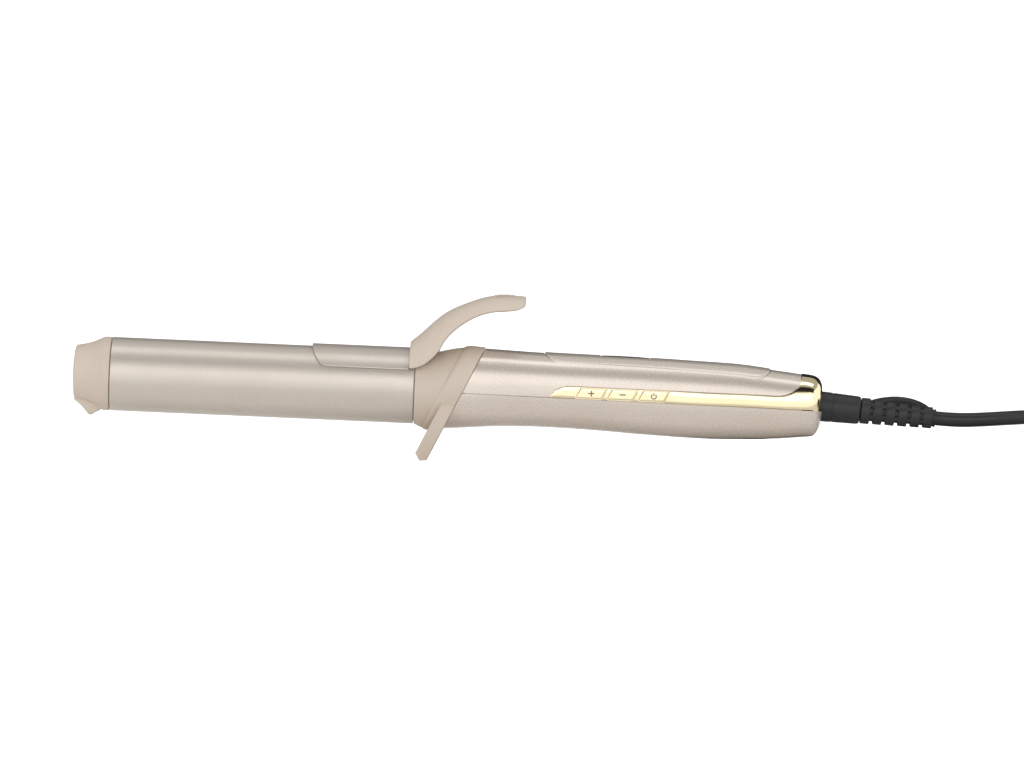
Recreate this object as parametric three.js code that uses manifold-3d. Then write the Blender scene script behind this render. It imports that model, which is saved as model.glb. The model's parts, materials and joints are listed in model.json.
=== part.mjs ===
// A hair curling iron lying on a table, with its mains cord laid out behind it.
//
// The iron is drawn in its own frame, in millimetres: the barrel's axis is the X axis, the seam between
// barrel and collar is at x = 0, the cord end is towards +X, the thumb lever is on top (+Z) and the buttons
// face -Y. The whole iron is then turned so that its foot and the belly of its handle both stand on the
// table. In the finished frame the table is z = 0 and the origin is the centre of the foot's flat sole.

import * as THREE from 'three';
import { mergeVertices } from 'three/addons/utils/BufferGeometryUtils.js';
import Module from 'manifold-3d';

const wasm = await Module();
wasm.setup();

// ---------------------------------------------------------------- driving dimensions

const GAP = 0.3; // between pieces that touch in the real object
const FIT = 0.1; // round a pin, screw or rivet in its hole

const BARREL = { radius: 16, wall: 1.2, length: 132.5 };
const TIP = { length: 16.3, band: 3.1, faceRadius: 12, neckRadius: 13.2, neckFromBand: 6.6, wall: 2.2 };
const NUB = { halfWidth: 4, centreFromBand: 8.1, drop: 2.3, halfLength: 7.2 };
const HEATER = { start: -120, end: -18, halfWidth: 6, thickness: 3.4, springSpace: 1.9 };
const SPREADER = { wall: 2 };
const SOCKET = { intoBarrel: 15, intoCollar: 10, rear: 46, bore: 10.4 };

const SLANT = { rearX: 21.5, slope: 0.477, seam: 0.6 }; // the collar's rear plane is x = rearX + slope * z
const BAND = { width: 8.6, proud: 0.9 };
const FOOT = { thickness: 5.7, soleX: 4.95, soleZ: -31.9, soleHalfWidth: 17, halfWidth: 19.6, chamfer: 3.6 };

const PLATE = { length: 45.2, thickness: 0.8, skirtZ: 7.4, tang: 2.5, tangZ: 10.6 };
const LEVER = { front: -2.7, hug: 1.6, halfWidth: 18.3 };
const HINGE = {
  x: 7.5, rise: 0.4, pinRadius: 1.2, pinHalfLength: 14.5, lugRadius: 2.6, lugHalfWidth: 4.5,
};
const SPRING = { coilRadius: 1.75, wireRadius: 0.3, turns: 4, start: 5.2, end: 8.4, pocket: 0.35 };
const RIVET = { x: 0, angle: 30, radius: 1, length: 2.6 };

const HANDLE = { start: 10, end: 177.4, height: 33, width: 32.8, wall: 2.4, power: 2.4 };
const PARTING = { z: -1.9, slope: -0.0065 }; // z = PARTING.z + slope * (x - SLANT.rearX)
const TRIM = { proud: 0.25, depth: 1, start: 58.7, top: 3.05, ring: 9.6 };
const PANEL = { start: 55.9, rearMargin: 23.3, halfWidth: 12, proud: 0.4, depth: 0.9, corner: 6 };
const WINDOW = { x: 91, halfLength: 11, halfWidth: 5, corner: 1.5 };
const BUTTON = { first: 72.1, pitch: 13.55, length: 11.2, bottom: -1.85, top: 2.65, proud: 0.6, bevel: 0.45 };
const BUTTON_STEM = { travel: 0.5, flange: 0.7, flangeThickness: 1 };
const TACT = { size: 6, height: 3, plungerRadius: 1.6, plunger: 0.4 };
const BUTTON_BOARD = { thickness: 1.2, bottom: -5.2, top: 7, margin: 4 };
const BOARD = { start: 62, halfWidth: 9, top: -6.9, thickness: 1.6 };
const SHELL_SCREW = {
  front: 52, rearMargin: 21.4, shank: 1.2, head: 2.7, headHeight: 2, headZ: -9.4, tipZ: 6.5,
};
const BOSS = { upper: 3.4, lower: 4.4 };
const BOARD_SCREW = { shank: 1, head: 2, headHeight: 1.3, post: 2.7, length: 5 };
const FUSE = { start: 26, length: 12, radius: 1.8, y: 4, z: 4 };
const LEAD = { radius: 0.8 };

const SWIVEL = {
  z: -0.8, droop: 3.5, radius: 6.5, outerRadius: 6, length: 16.6, flange: 8, flangeStart: -7.8,
};
const HUB = { end: -14.6, radius: 4.2, ring: 5.3, housing: 8.3, housingWall: 1.7, bore: 1.6 };
const RELIEF = {
  end: 49.6, frontRadius: 5.7, rearRadius: 4.55, ridges: 6, groove: 1.1, grooveWidth: 1.5,
};
const LOOP = { start: 19.5, end: 46.5, reach: 20.4, angle: 75, thickness: 3.7, width: 5 };

const CORD = { radius: 3.1, sides: 10 };
const HANK = { start: 272, runs: 93, halfWidth: 28, waist: 13, height: 19.8 };
const TIE = { width: 9, thickness: 0.8 };
const PLUG = { x: 444, y: -17, neck: 4.6, length: 34, halfWidth: 11.5, height: 17 };
const BLADE = { length: 17, spacing: 12.7, halfThickness: 0.75, halfHeight: 3.2 };

const CORD_POINTS = [
  [223.97, 0, 4.79], [229.5, 0, 3.92], [236, 0, 3.3], [244, 0, 3.1], [251, -1.4, 3.1],
  [260, -7.2, 3.1], [269, -15, 3.1], [276.6, -20, 3.1],
];
const TAIL_POINTS = [
  [418.2, -18.5, 19.2], [423, -18.2, 16.4], [429, -17.7, 12.7], [435, -17.2, 9.8], [439.5, -17, 8.7],
  [443.6, -17, 8.5],
];

// ---------------------------------------------------------------- solids

/** A geometry reduced to shared vertices and to triangles that have an area. */
function weld(geometry) {
  const bare = geometry.clone();
  for (const name of Object.keys(bare.attributes)) {
    if (name !== 'position') bare.deleteAttribute(name);
  }
  const merged = mergeVertices(bare, 1e-4);
  const kept = [];
  const index = merged.index.array;
  for (let i = 0; i < index.length; i += 3) {
    const [a, b, c] = [index[i], index[i + 1], index[i + 2]];
    if (a !== b && b !== c && c !== a) kept.push(a, b, c);
  }
  merged.setIndex(kept);
  if (signedVolume(merged) < 0) merged.setIndex(kept.reverse());
  return merged;
}

function signedVolume(geometry) {
  const position = geometry.attributes.position;
  const corner = [0, 1, 2].map(() => new THREE.Vector3());
  let sum = 0;
  for (let i = 0; i < geometry.index.count; i += 3) {
    corner.forEach((point, k) => point.fromBufferAttribute(position, geometry.index.getX(i + k)));
    sum += corner[0].dot(corner[1].cross(corner[2])) / 6;
  }
  return sum;
}

/** A closed geometry as a solid that can be joined and cut. */
function solid(geometry) {
  const welded = weld(geometry);
  return new wasm.Manifold(new wasm.Mesh({
    numProp: 3,
    vertProperties: new Float32Array(welded.attributes.position.array),
    triVerts: new Uint32Array(welded.index.array),
  }));
}

/** A solid as a geometry. */
function surface(body) {
  const mesh = body.getMesh();
  const points = [];
  for (let i = 0; i < mesh.vertProperties.length; i += mesh.numProp) {
    points.push(mesh.vertProperties[i], mesh.vertProperties[i + 1], mesh.vertProperties[i + 2]);
  }
  const geometry = new THREE.BufferGeometry();
  geometry.setAttribute('position', new THREE.Float32BufferAttribute(points, 3));
  geometry.setIndex(Array.from(mesh.triVerts));
  return geometry;
}

/** An outline, and a hole in it if there is one, extruded from 0 to a depth. */
function extruded(outline, depth, hole = []) {
  const round = (points) => {
    const corners = points.map(([u, v]) => new THREE.Vector2(u, v));
    return THREE.ShapeUtils.isClockWise(corners) ? corners.reverse() : corners;
  };
  const shape = new THREE.Shape(round(outline));
  if (hole.length) shape.holes.push(new THREE.Path(round(hole)));
  return new THREE.ExtrudeGeometry(shape, { depth, bevelEnabled: false });
}

/** An outline in X and Z, extruded along Y from y0 to y1. */
const sideways = (outline, y0, y1) => extruded(outline, y1 - y0).rotateX(Math.PI / 2).translate(0, y1, 0);

/** An outline in X and Y, extruded along Z from z0 to z1. */
const upward = (outline, z0, z1) => extruded(outline, z1 - z0).translate(0, 0, z0);

/** An outline in Y and Z, extruded along X from x0 to x1. */
const lengthwise = (outline, x0, x1, hole) =>
  extruded(outline, x1 - x0, hole).rotateX(Math.PI / 2).rotateZ(Math.PI / 2).translate(x0, 0, 0);

/** A profile of [x, radius] points turned about the X axis. A hollow profile closes on itself. */
function turned(profile, segments = 24) {
  const points = profile.map(([x, radius]) => new THREE.Vector2(radius, x));
  return new THREE.LatheGeometry(points, segments).rotateZ(-Math.PI / 2);
}

function tubeAlongX(x0, x1, outer, inner, segments = 24) {
  return turned([[x0, inner], [x0, outer], [x1, outer], [x1, inner], [x0, inner]], segments);
}

function box(x0, x1, y0, y1, z0, z1) {
  const geometry = new THREE.BoxGeometry(x1 - x0, y1 - y0, z1 - z0);
  return geometry.translate((x0 + x1) / 2, (y0 + y1) / 2, (z0 + z1) / 2);
}

/** A rod between two points. */
function rod(from, to, radius, segments = 16) {
  const a = new THREE.Vector3(...from);
  const b = new THREE.Vector3(...to);
  const along = b.clone().sub(a);
  const upright = new THREE.Vector3(0, 1, 0);
  const turn = new THREE.Quaternion().setFromUnitVectors(upright, along.clone().normalize());
  const geometry = new THREE.CylinderGeometry(radius, radius, along.length(), segments);
  return geometry.applyQuaternion(turn).translate(...a.add(b).multiplyScalar(0.5).toArray());
}

/** A round cord, wire or coil along a curve. */
function drawn(curve, radius, sides, steps) {
  const section = new THREE.Shape();
  for (let i = 0; i <= sides; i++) {
    const angle = (2 * Math.PI * i) / sides;
    const [x, y] = [radius * Math.cos(angle), radius * Math.sin(angle)];
    if (i) section.lineTo(x, y);
    else section.moveTo(x, y);
  }
  const along = { steps, curveSegments: 1, bevelEnabled: false, extrudePath: curve };
  return new THREE.ExtrudeGeometry(section, along);
}

function through(points) {
  return new THREE.CatmullRomCurve3(points.map((point) => new THREE.Vector3(...point)), false, 'centripetal');
}

/** A closed skin over rings of points, all of one count, with a fan over each end. */
function loft(rings) {
  const count = rings[0].length;
  const positions = rings.flat(2);
  const index = [];
  for (let r = 0; r + 1 < rings.length; r++) {
    for (let i = 0; i < count; i++) {
      const j = (i + 1) % count;
      const [a, b, c, d] = [r * count + i, r * count + j, (r + 1) * count + i, (r + 1) * count + j];
      index.push(a, b, c, b, d, c);
    }
  }
  for (const [ring, flip] of [[0, true], [rings.length - 1, false]]) {
    const middle = [0, 1, 2].map((k) => rings[ring].reduce((sum, point) => sum + point[k] / count, 0));
    const centre = positions.length / 3;
    positions.push(...middle);
    for (let i = 0; i < count; i++) {
      const pair = [ring * count + i, ring * count + ((i + 1) % count)];
      index.push(centre, ...(flip ? pair.reverse() : pair));
    }
  }
  const geometry = new THREE.BufferGeometry();
  geometry.setAttribute('position', new THREE.Float32BufferAttribute(positions, 3));
  geometry.setIndex(index);
  return geometry;
}

/** A ring across the X axis: an oval with its own height above and below, squarer as its power grows. */
function oval(x, halfWidth, top, bottom, power = 2, count = 24) {
  const bend = (value) => Math.sign(value) * Math.abs(value) ** (2 / power);
  return Array.from({ length: count }, (_, i) => {
    const angle = (2 * Math.PI * (i + 0.5)) / count;
    return [
      x,
      halfWidth * bend(Math.cos(angle)),
      (top + bottom) / 2 + ((top - bottom) / 2) * bend(Math.sin(angle)),
    ];
  });
}

/** A smooth function through [position, value] points. */
function smooth(points) {
  const slope = (i) => {
    const [before, after] = [points[Math.max(i - 1, 0)], points[Math.min(i + 1, points.length - 1)]];
    return (after[1] - before[1]) / (after[0] - before[0]);
  };
  return (at) => {
    let i = 0;
    while (i < points.length - 2 && at > points[i + 1][0]) i++;
    const [[x0, y0], [x1, y1]] = [points[i], points[i + 1]];
    const width = x1 - x0;
    const t = (Math.min(Math.max(at, x0), x1) - x0) / width;
    const [t2, t3] = [t * t, t * t * t];
    return y0 * (2 * t3 - 3 * t2 + 1) + y1 * (3 * t2 - 2 * t3)
      + width * (slope(i) * (t3 - 2 * t2 + t) + slope(i + 1) * (t3 - t2));
  };
}

// ---------------------------------------------------------------- shared shapes

const FAR = 60; // well outside the iron's section
const degrees = (angle) => (angle * Math.PI) / 180;
const slantX = (z, shift = 0) => SLANT.rearX + SLANT.slope * z + shift;
const slantCos = 1 / Math.hypot(1, SLANT.slope);
const partingZ = (x) => PARTING.z + PARTING.slope * (x - SLANT.rearX);

/** The space ahead of the collar's rear plane, or of a plane parallel to it. */
const aheadOfSlant = (shift) => besideSlant(shift, -FAR * 4);
const behindSlant = (shift) => besideSlant(shift, FAR * 5);
const besideSlant = (shift, end) =>
  sideways([[end, -FAR], [slantX(-FAR, shift), -FAR], [slantX(FAR, shift), FAR], [end, FAR]], -FAR, FAR);

// The handle's outline from the side and from above: shares of its length, and of half its height or width.
const handleTop = smooth([
  [0, 1.133], [0.121, 1.091], [0.287, 1.042], [0.52, 1.018], [0.678, 0.982], [0.783, 0.945], [0.887, 0.836],
  [0.938, 0.782], [0.971, 0.739], [0.986, 0.667], [0.994, 0.545], [1, 0.333],
]);
const handleBottom = smooth([
  [0, -1.085], [0.062, -1.03], [0.165, -0.945], [0.269, -0.915], [0.346, -0.921], [0.424, -0.945],
  [0.532, -0.994], [0.687, -1.036], [0.789, -1.012], [0.896, -0.952], [0.944, -0.891], [0.977, -0.842],
  [0.987, -0.745], [0.995, -0.558], [1, -0.333],
]);
const handleSide = smooth([
  [0, 1.05], [0.12, 1.024], [0.3, 0.988], [0.52, 0.951], [0.717, 0.927], [0.884, 0.866], [0.944, 0.829],
  [0.971, 0.78], [0.986, 0.683], [0.994, 0.55], [1, 0.335],
]);
const HANDLE_STATIONS = [
  0, 0.06, 0.12, 0.19, 0.27, 0.35, 0.43, 0.52, 0.61, 0.7, 0.79, 0.86, 0.92, 0.955, 0.975, 0.986, 0.994, 1,
];
const handleShare = (x) => (x - HANDLE.start) / (HANDLE.end - HANDLE.start);
const handleTopAt = (x) => (handleTop(handleShare(x)) * HANDLE.height) / 2;
const handleBottomAt = (x) => (handleBottom(handleShare(x)) * HANDLE.height) / 2;
const handleSideAt = (x) => (handleSide(handleShare(x)) * HANDLE.width) / 2;

/** The handle as one solid, grown by an offset, or shrunk by a negative one. */
function handleBody(offset) {
  const length = HANDLE.end + offset - HANDLE.start;
  return solid(loft(HANDLE_STATIONS.map((share) => oval(
    HANDLE.start + share * length,
    (handleSide(share) * HANDLE.width) / 2 + offset,
    (handleTop(share) * HANDLE.height) / 2 + offset,
    (handleBottom(share) * HANDLE.height) / 2 - offset,
    HANDLE.power,
  ))));
}

/** A skin on the handle between two offsets, as far as a prism reaches. */
const skin = (outer, inner, prism) => handleBody(outer).subtract(handleBody(inner)).intersect(solid(prism));

const swivelPlace = new THREE.Matrix4()
  .makeRotationY(degrees(SWIVEL.droop))
  .setPosition(HANDLE.end, 0, SWIVEL.z);

// The table touches the foot's sole and, further back, the lowest slope on the handle's belly.
const restSlope = Math.min(...Array.from({ length: 120 }, (_, i) => {
  const x = HANDLE.start + ((HANDLE.end - HANDLE.start) * (i + 60)) / 180;
  return (handleBottomAt(x) - FOOT.soleZ) / (x - FOOT.soleX);
}));
const restTilt = Math.atan(restSlope);

// ---------------------------------------------------------------- pieces

const iron = new THREE.Group();
iron.rotation.y = restTilt;
iron.position.copy(new THREE.Vector3(FOOT.soleX, 0, FOOT.soleZ)
  .applyAxisAngle(new THREE.Vector3(0, 1, 0), restTilt).negate());

const swivel = new THREE.Group();
swivel.applyMatrix4(swivelPlace);
iron.add(swivel);

const table = new THREE.Group();

const FINISH = {
  champagne: [0xcdbfb0, 0.55, 0.1],
  satin: [0xd6c6b6, 0.3, 0.9],
  pearl: [0xd9cfc4, 0.35, 0.2],
  gold: [0xf1e5bb, 0.12, 1],
  rubber: [0x16161a, 0.6, 0],
  aluminium: [0xb9bcc0, 0.4, 0.9],
  steel: [0x9a9da1, 0.35, 1],
  brass: [0xb8974a, 0.3, 1],
  ceramic: [0xe8e4da, 0.8, 0],
  board: [0x1f5a35, 0.6, 0],
  component: [0x202226, 0.5, 0],
  wire: [0xc8ccd2, 0.6, 0],
  smoke: [0x1b1c20, 0.1, 0],
  strap: [0x2a2a2e, 0.8, 0],
};

/** Adds a piece to a group, under its name. */
function add(group, name, shape, finish) {
  const geometry = shape.isBufferGeometry ? weld(shape) : surface(shape);
  const [color, roughness, metalness] = FINISH[finish];
  const mesh = new THREE.Mesh(geometry, new THREE.MeshStandardMaterial({ color, roughness, metalness }));
  mesh.name = name;
  group.add(mesh);
}

// -- Barrel, cool tip and heater ----------------------------------------------------------

const barrelInner = BARREL.radius - BARREL.wall;

function coolTip() {
  const band = -BARREL.length;
  const front = band - TIP.length;
  const neck = band - TIP.band - TIP.neckFromBand;
  const inner = barrelInner - 1;
  const shell = solid(turned([
    [front, 0], [front + 0.2, TIP.faceRadius * 0.6], [front + 0.7, TIP.faceRadius * 0.93],
    [front + 1.6, TIP.faceRadius + 0.1], [neck, TIP.neckRadius], [neck + 3.3, TIP.neckRadius + 1.1],
    [band - TIP.band, BARREL.radius], [band, BARREL.radius], [band, inner],
    [neck, TIP.neckRadius - TIP.wall], [front + TIP.wall + 0.8, TIP.faceRadius - TIP.wall],
    [front + TIP.wall, 0],
  ], 28));
  const middle = band - NUB.centreFromBand;
  const bottom = -BARREL.radius - NUB.drop;
  const nub = solid(sideways([
    [middle - NUB.halfLength, -TIP.faceRadius + 0.9], [middle - NUB.halfLength + 2.4, -TIP.faceRadius - 1.9],
    [middle - 2, bottom + 1.4], [middle, bottom], [middle + 2.3, bottom + 1.3],
    [middle + 4, bottom + 2.1], [middle + 4, -TIP.neckRadius + 0.4],
  ], -NUB.halfWidth, NUB.halfWidth));
  return shell.add(nub);
}

function heatSpreader(side) {
  const outer = barrelInner - GAP;
  const flat = HEATER.thickness / 2 + GAP + (side < 0 ? HEATER.springSpace : 0);
  const segment = (radius, level) => {
    const start = Math.asin(level / radius);
    return Array.from({ length: 15 }, (_, i) => {
      const angle = start + ((Math.PI - 2 * start) * i) / 14;
      return [radius * Math.cos(angle), side * radius * Math.sin(angle)];
    });
  };
  return lengthwise(segment(outer, flat), HEATER.start, HEATER.end,
    segment(outer - SPREADER.wall, flat + SPREADER.wall));
}

/** A wavy leaf that presses the lower spreader on to the barrel's wall. */
function spreaderSpring() {
  const waves = 8;
  const top = -HEATER.thickness / 2 - 0.25;
  const bottom = top - HEATER.springSpace + 0.2;
  const leaf = 0.4;
  const line = Array.from({ length: waves + 1 }, (_, i) => [
    HEATER.start + 4 + ((HEATER.end - HEATER.start - 8) * i) / waves,
    i % 2 ? bottom : top - leaf,
  ]);
  const over = line.map(([x, z]) => [x, z + leaf]).reverse();
  return sideways([...line, ...over], -4, 4);
}

function barrelAssembly() {
  add(iron, 'barrel_tube', tubeAlongX(-BARREL.length + GAP, -GAP, BARREL.radius, barrelInner, 36), 'satin');
  add(iron, 'cool_tip', coolTip(), 'champagne');
  const plug = -BARREL.length;
  add(iron, 'tip_holder', turned([
    [plug - 5, 6], [plug - 5, TIP.neckRadius - TIP.wall - GAP - 0.4],
    [plug - 3.6, TIP.neckRadius - TIP.wall - GAP], [plug + 0.6, barrelInner - 1 - GAP],
    [plug + 0.6, barrelInner - GAP], [plug + 11, barrelInner - GAP],
    [plug + 11, 6], [plug - 5, 6],
  ]), 'ceramic');
  const half = HEATER.thickness / 2;
  add(iron, 'heater_core',
    box(HEATER.start + 2, HEATER.end - 2, -HEATER.halfWidth, HEATER.halfWidth, -half, half), 'ceramic');
  add(iron, 'heat_spreader_upper', heatSpreader(1), 'aluminium');
  add(iron, 'heat_spreader_lower', heatSpreader(-1), 'aluminium');
  add(iron, 'spreader_spring', spreaderSpring(), 'steel');
  const sensorZ = barrelInner * 0.55;
  add(iron, 'thermistor', rod([-46, 0, sensorZ], [-37, 0, sensorZ], 1.3, 12), 'ceramic');
  const front = barrelInner - GAP;
  add(iron, 'barrel_socket', turned([
    [-SOCKET.intoBarrel, SOCKET.bore], [-SOCKET.intoBarrel, front], [SOCKET.intoCollar, front],
    [SOCKET.intoCollar + 1, socketRear()], [SOCKET.rear, socketRear()], [SOCKET.rear, SOCKET.bore],
    [-SOCKET.intoBarrel, SOCKET.bore],
  ]), 'ceramic');
}

/** The socket's outer radius inside the handle, clear of the shells where they are narrowest round it. */
function socketRear() {
  const lowest = Math.min(-handleBottomAt(SOCKET.rear), handleSideAt(SOCKET.rear)) - HANDLE.wall;
  return Math.min(lowest - 0.6, barrelInner - GAP - 0.5);
}

// -- Collar, slanted band and foot, one moulding ------------------------------------------

function standCollar() {
  const r = BARREL.radius;
  const top = handleTopAt(28);
  const bottom = handleBottomAt(14);
  const side = handleSideAt(20);
  const neck = loft([
    oval(0, r, r, -r), oval(2, r + 0.1, r, -r - 0.9), oval(4.6, r + 0.2, r, -r - 1.8),
    oval(SOCKET.intoCollar, r + 0.7, r + 0.1, bottom - 0.5),
    oval(13, r + 0.8, r + 0.9, bottom - 0.5), oval(20, side + 0.2, top, bottom - 0.4),
    oval(34, side + 0.2, top + 0.2, bottom - 0.4),
  ]);
  const ring = loft([
    oval(-4, side + 0.9, top + 1.2, bottom - 1), oval(19.6, side + BAND.proud, top + 1.1, bottom - 0.8),
    oval(34, side + 0.5, top + 0.2, bottom - 0.6),
  ]);
  const body = solid(neck).intersect(solid(aheadOfSlant(0)));
  const band = solid(ring).intersect(solid(aheadOfSlant(0)))
    .intersect(solid(behindSlant(-BAND.width / slantCos)));
  return body.add(band).add(foot()).add(hingeLug())
    .subtract(solid(barrelBore(-1, 60, barrelInner)))
    .subtract(springPocket())
    .subtract(solid(rod([HINGE.x, -FAR, hingeZ()], [HINGE.x, FAR, hingeZ()], HINGE.pinRadius + FIT, 24)));
}

const barrelBore = (x0, x1, radius) => rod([x0, 0, 0], [x1, 0, 0], radius, 48);

/** A slanted plate under the band, its sole cut level with the table. */
function foot() {
  const slantLength = (z) => z / slantCos;
  const low = slantLength(FOOT.soleZ - 3);
  const outline = [
    [-FOOT.soleHalfWidth, low], [FOOT.soleHalfWidth, low],
    [FOOT.halfWidth, slantLength(FOOT.soleZ + 9)], [FOOT.halfWidth - 0.2, slantLength(FOOT.soleZ + 17)],
    [FOOT.halfWidth - 2.6, slantLength(FOOT.soleZ + 23)],
    [-FOOT.halfWidth + 2.6, slantLength(FOOT.soleZ + 23)],
    [-FOOT.halfWidth + 0.2, slantLength(FOOT.soleZ + 17)], [-FOOT.halfWidth, slantLength(FOOT.soleZ + 9)],
  ];
  const plate = lengthwise(outline, -FOOT.thickness, 0)
    .rotateY(Math.atan(SLANT.slope)).translate(SLANT.rearX, 0, 0);
  const frontX = slantX(FOOT.soleZ, -FOOT.thickness / slantCos);
  const soleFront = FOOT.soleX - 1.45;
  const tableZ = (x) => FOOT.soleZ + restSlope * (x - FOOT.soleX);
  const kept = sideways([
    [soleFront, tableZ(soleFront)], [FAR, tableZ(FAR)], [FAR, 20], [frontX - 4, 20],
    [frontX - 4, FOOT.soleZ + FOOT.chamfer + 2.4], [frontX + 1.3, FOOT.soleZ + FOOT.chamfer],
  ], -FAR, FAR);
  return solid(plate).intersect(solid(kept));
}

const hingeZ = () => BARREL.radius + HINGE.rise;

function hingeLug() {
  const half = HINGE.lugHalfWidth;
  const eye = rod([HINGE.x, -half, hingeZ()], [HINGE.x, half, hingeZ()], HINGE.lugRadius, 24);
  const stem = box(HINGE.x - HINGE.lugRadius, HINGE.x + HINGE.lugRadius, -half, half,
    BARREL.radius - 1, hingeZ() - 0.2);
  return solid(eye).add(solid(stem));
}

/** The space that the lever's torsion spring turns in, round the hinge pin. */
function springPocket() {
  const radius = SPRING.coilRadius + SPRING.wireRadius + SPRING.pocket;
  const [from, to] = [SPRING.start - 0.6, SPRING.end + 0.6];
  return solid(rod([HINGE.x, from, hingeZ()], [HINGE.x, to, hingeZ()], radius, 24));
}

// -- Clamp: hair plate, thumb lever, hinge pin, spring and rivets -------------------------

function clampPlate() {
  const inner = BARREL.radius + GAP;
  const outer = inner + PLATE.thickness;
  const rest = solid(tubeAlongX(-PLATE.length, PLATE.tang, outer, inner, 48));
  const rise = PLATE.skirtZ;
  const kept = sideways([
    [-PLATE.length, FAR], [-PLATE.length, rise + 8], [-PLATE.length + 1.8, rise + 4.3],
    [-PLATE.length + 3.7, rise + 1.4], [-PLATE.length + 7.1, rise], [LEVER.front - GAP, rise],
    [LEVER.front - GAP, PLATE.tangZ], [PLATE.tang, PLATE.tangZ], [PLATE.tang, FAR],
  ], -FAR, FAR);
  return rest.intersect(solid(kept)).subtract(rivetHoles());
}

function rivetHoles() {
  const [from, radius] = [BARREL.radius - 1, RIVET.radius + FIT];
  return rivetRod(1, from, radius).add(rivetRod(-1, from, radius));
}

/** A rivet's rod, standing square on the barrel's side, from a radius to its tip. */
function rivetRod(side, from, radius) {
  const to = BARREL.radius + GAP + 0.1 + RIVET.length + (radius > RIVET.radius ? FIT : 0);
  const [y, z] = [side * Math.sin(degrees(RIVET.angle)), Math.cos(degrees(RIVET.angle))];
  return solid(rod([RIVET.x, from * y, from * z], [RIVET.x, to * y, to * z], radius, 16));
}

// The lever from the side: heights above the barrel's wall, over x.
const leverTop = smooth([
  [-2.7, 3.7], [2.1, 7.8], [7.7, 13.3], [13, 17.5], [19.9, 21], [28.7, 24.3], [36.5, 25.6], [46.8, 25.4],
]);
const leverUnder = smooth([
  [-2.7, -8.1], [-1, -8.1], [2.8, -6.7], [5.8, -4.5], [9.2, -0.8], [12, 4.4], [15.7, 8.8], [21.4, 13.3],
  [27.1, 16.3], [32.9, 17.9], [38.6, 18.5], [43.7, 19.4], [46.8, 21.1],
]);
const leverSide = smooth([
  [-2.7, 1], [5, 1.005], [12, 0.95], [20, 0.82], [28, 0.71], [36, 0.665], [43, 0.64], [45.6, 0.59],
  [46.8, 0.49],
]);
const LEVER_STATIONS = [
  -2.7, -0.6, 2.1, 5, 7.7, 10, 12, 15.7, 19.9, 24, 28.7, 33, 37.5, 42, 44.6, 46.1, 46.8,
];

function clampLever() {
  const r = BARREL.radius;
  const count = 16;
  const rings = LEVER_STATIONS.map((x) => {
    const [top, under, half] = [r + leverTop(x), r + leverUnder(x), leverSide(x) * LEVER.halfWidth];
    return Array.from({ length: count }, (_, i) => {
      const angle = (Math.PI * i) / (count - 1);
      return [
        x,
        half * Math.sign(Math.cos(angle)) * Math.abs(Math.cos(angle)) ** 0.85,
        under + (top - under) * Math.sin(angle) ** 0.85,
      ];
    });
  });
  const seat = rod([-FAR, 0, 0], [FAR, 0, 0], r + LEVER.hug, 48);
  const half = HINGE.lugHalfWidth + GAP;
  const lugSpace = rod([HINGE.x, -half, hingeZ()], [HINGE.x, half, hingeZ()], HINGE.lugRadius + 0.5, 24);
  const length = HINGE.pinHalfLength + GAP;
  const bore = rod([HINGE.x, -length, hingeZ()], [HINGE.x, length, hingeZ()], HINGE.pinRadius + FIT, 24);
  return solid(loft(rings)).subtract(solid(seat)).subtract(solid(lugSpace)).subtract(solid(bore))
    .subtract(springPocket()).subtract(rivetHoles());
}

class Helix extends THREE.Curve {
  getPoint(t, target = new THREE.Vector3()) {
    const angle = 2 * Math.PI * SPRING.turns * t;
    return target.set(
      HINGE.x + SPRING.coilRadius * Math.cos(angle),
      SPRING.start + (SPRING.end - SPRING.start) * t,
      hingeZ() + SPRING.coilRadius * Math.sin(angle),
    );
  }
}

function clampAssembly() {
  const half = HINGE.pinHalfLength;
  add(iron, 'clamp_plate', clampPlate(), 'satin');
  add(iron, 'clamp_lever', clampLever(), 'champagne');
  const pin = rod([HINGE.x, -half, hingeZ()], [HINGE.x, half, hingeZ()], HINGE.pinRadius, 24);
  add(iron, 'hinge_pin', pin, 'steel');
  add(iron, 'lever_spring', drawn(new Helix(), SPRING.wireRadius, 5, 32), 'steel');
  for (const [name, side] of [['clamp_rivet_near', -1], ['clamp_rivet_far', 1]]) {
    add(iron, name, rivetRod(side, BARREL.radius + GAP + 0.1, RIVET.radius), 'steel');
  }
}

// -- Handle shells, trim, top panel and buttons -------------------------------------------

/** The trim's outline: a strip that starts in a point and turns up over the handle's rear end. */
function trimOutline(grow) {
  const rear = HANDLE.end - TRIM.ring;
  return [
    [TRIM.start - grow, partingZ(TRIM.start) + 0.15 - grow],
    [TRIM.start + 4 - grow / 2, TRIM.top - 1.15 + grow], [TRIM.start + 7.3, TRIM.top + grow],
    [rear - 9.8, TRIM.top - 0.4 + grow], [rear - 6.6 - grow, TRIM.top + 0.1 + grow],
    [rear - 3.9 - grow, TRIM.top + 1.4 + grow], [rear - 1.3 - grow, TRIM.top + 3.8],
    [rear - grow, TRIM.top + 6.6], [rear - grow, FAR], [HANDLE.end + 9, FAR],
    [HANDLE.end + 9, partingZ(HANDLE.end) + 0.15 - grow],
  ];
}

/** The top panel's outline from above, with rounded corners. */
function panelOutline(start, end, halfWidth, corner) {
  const centres = [[end - corner, halfWidth - corner, 0], [start + corner, halfWidth - corner, 90],
    [start + corner, corner - halfWidth, 180], [end - corner, corner - halfWidth, 270]];
  return centres.flatMap(([x, y, from]) => [0, 30, 60, 90].map((angle) => [
    x + corner * Math.cos(degrees(from + angle)),
    y + corner * Math.sin(degrees(from + angle)),
  ]));
}

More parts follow.
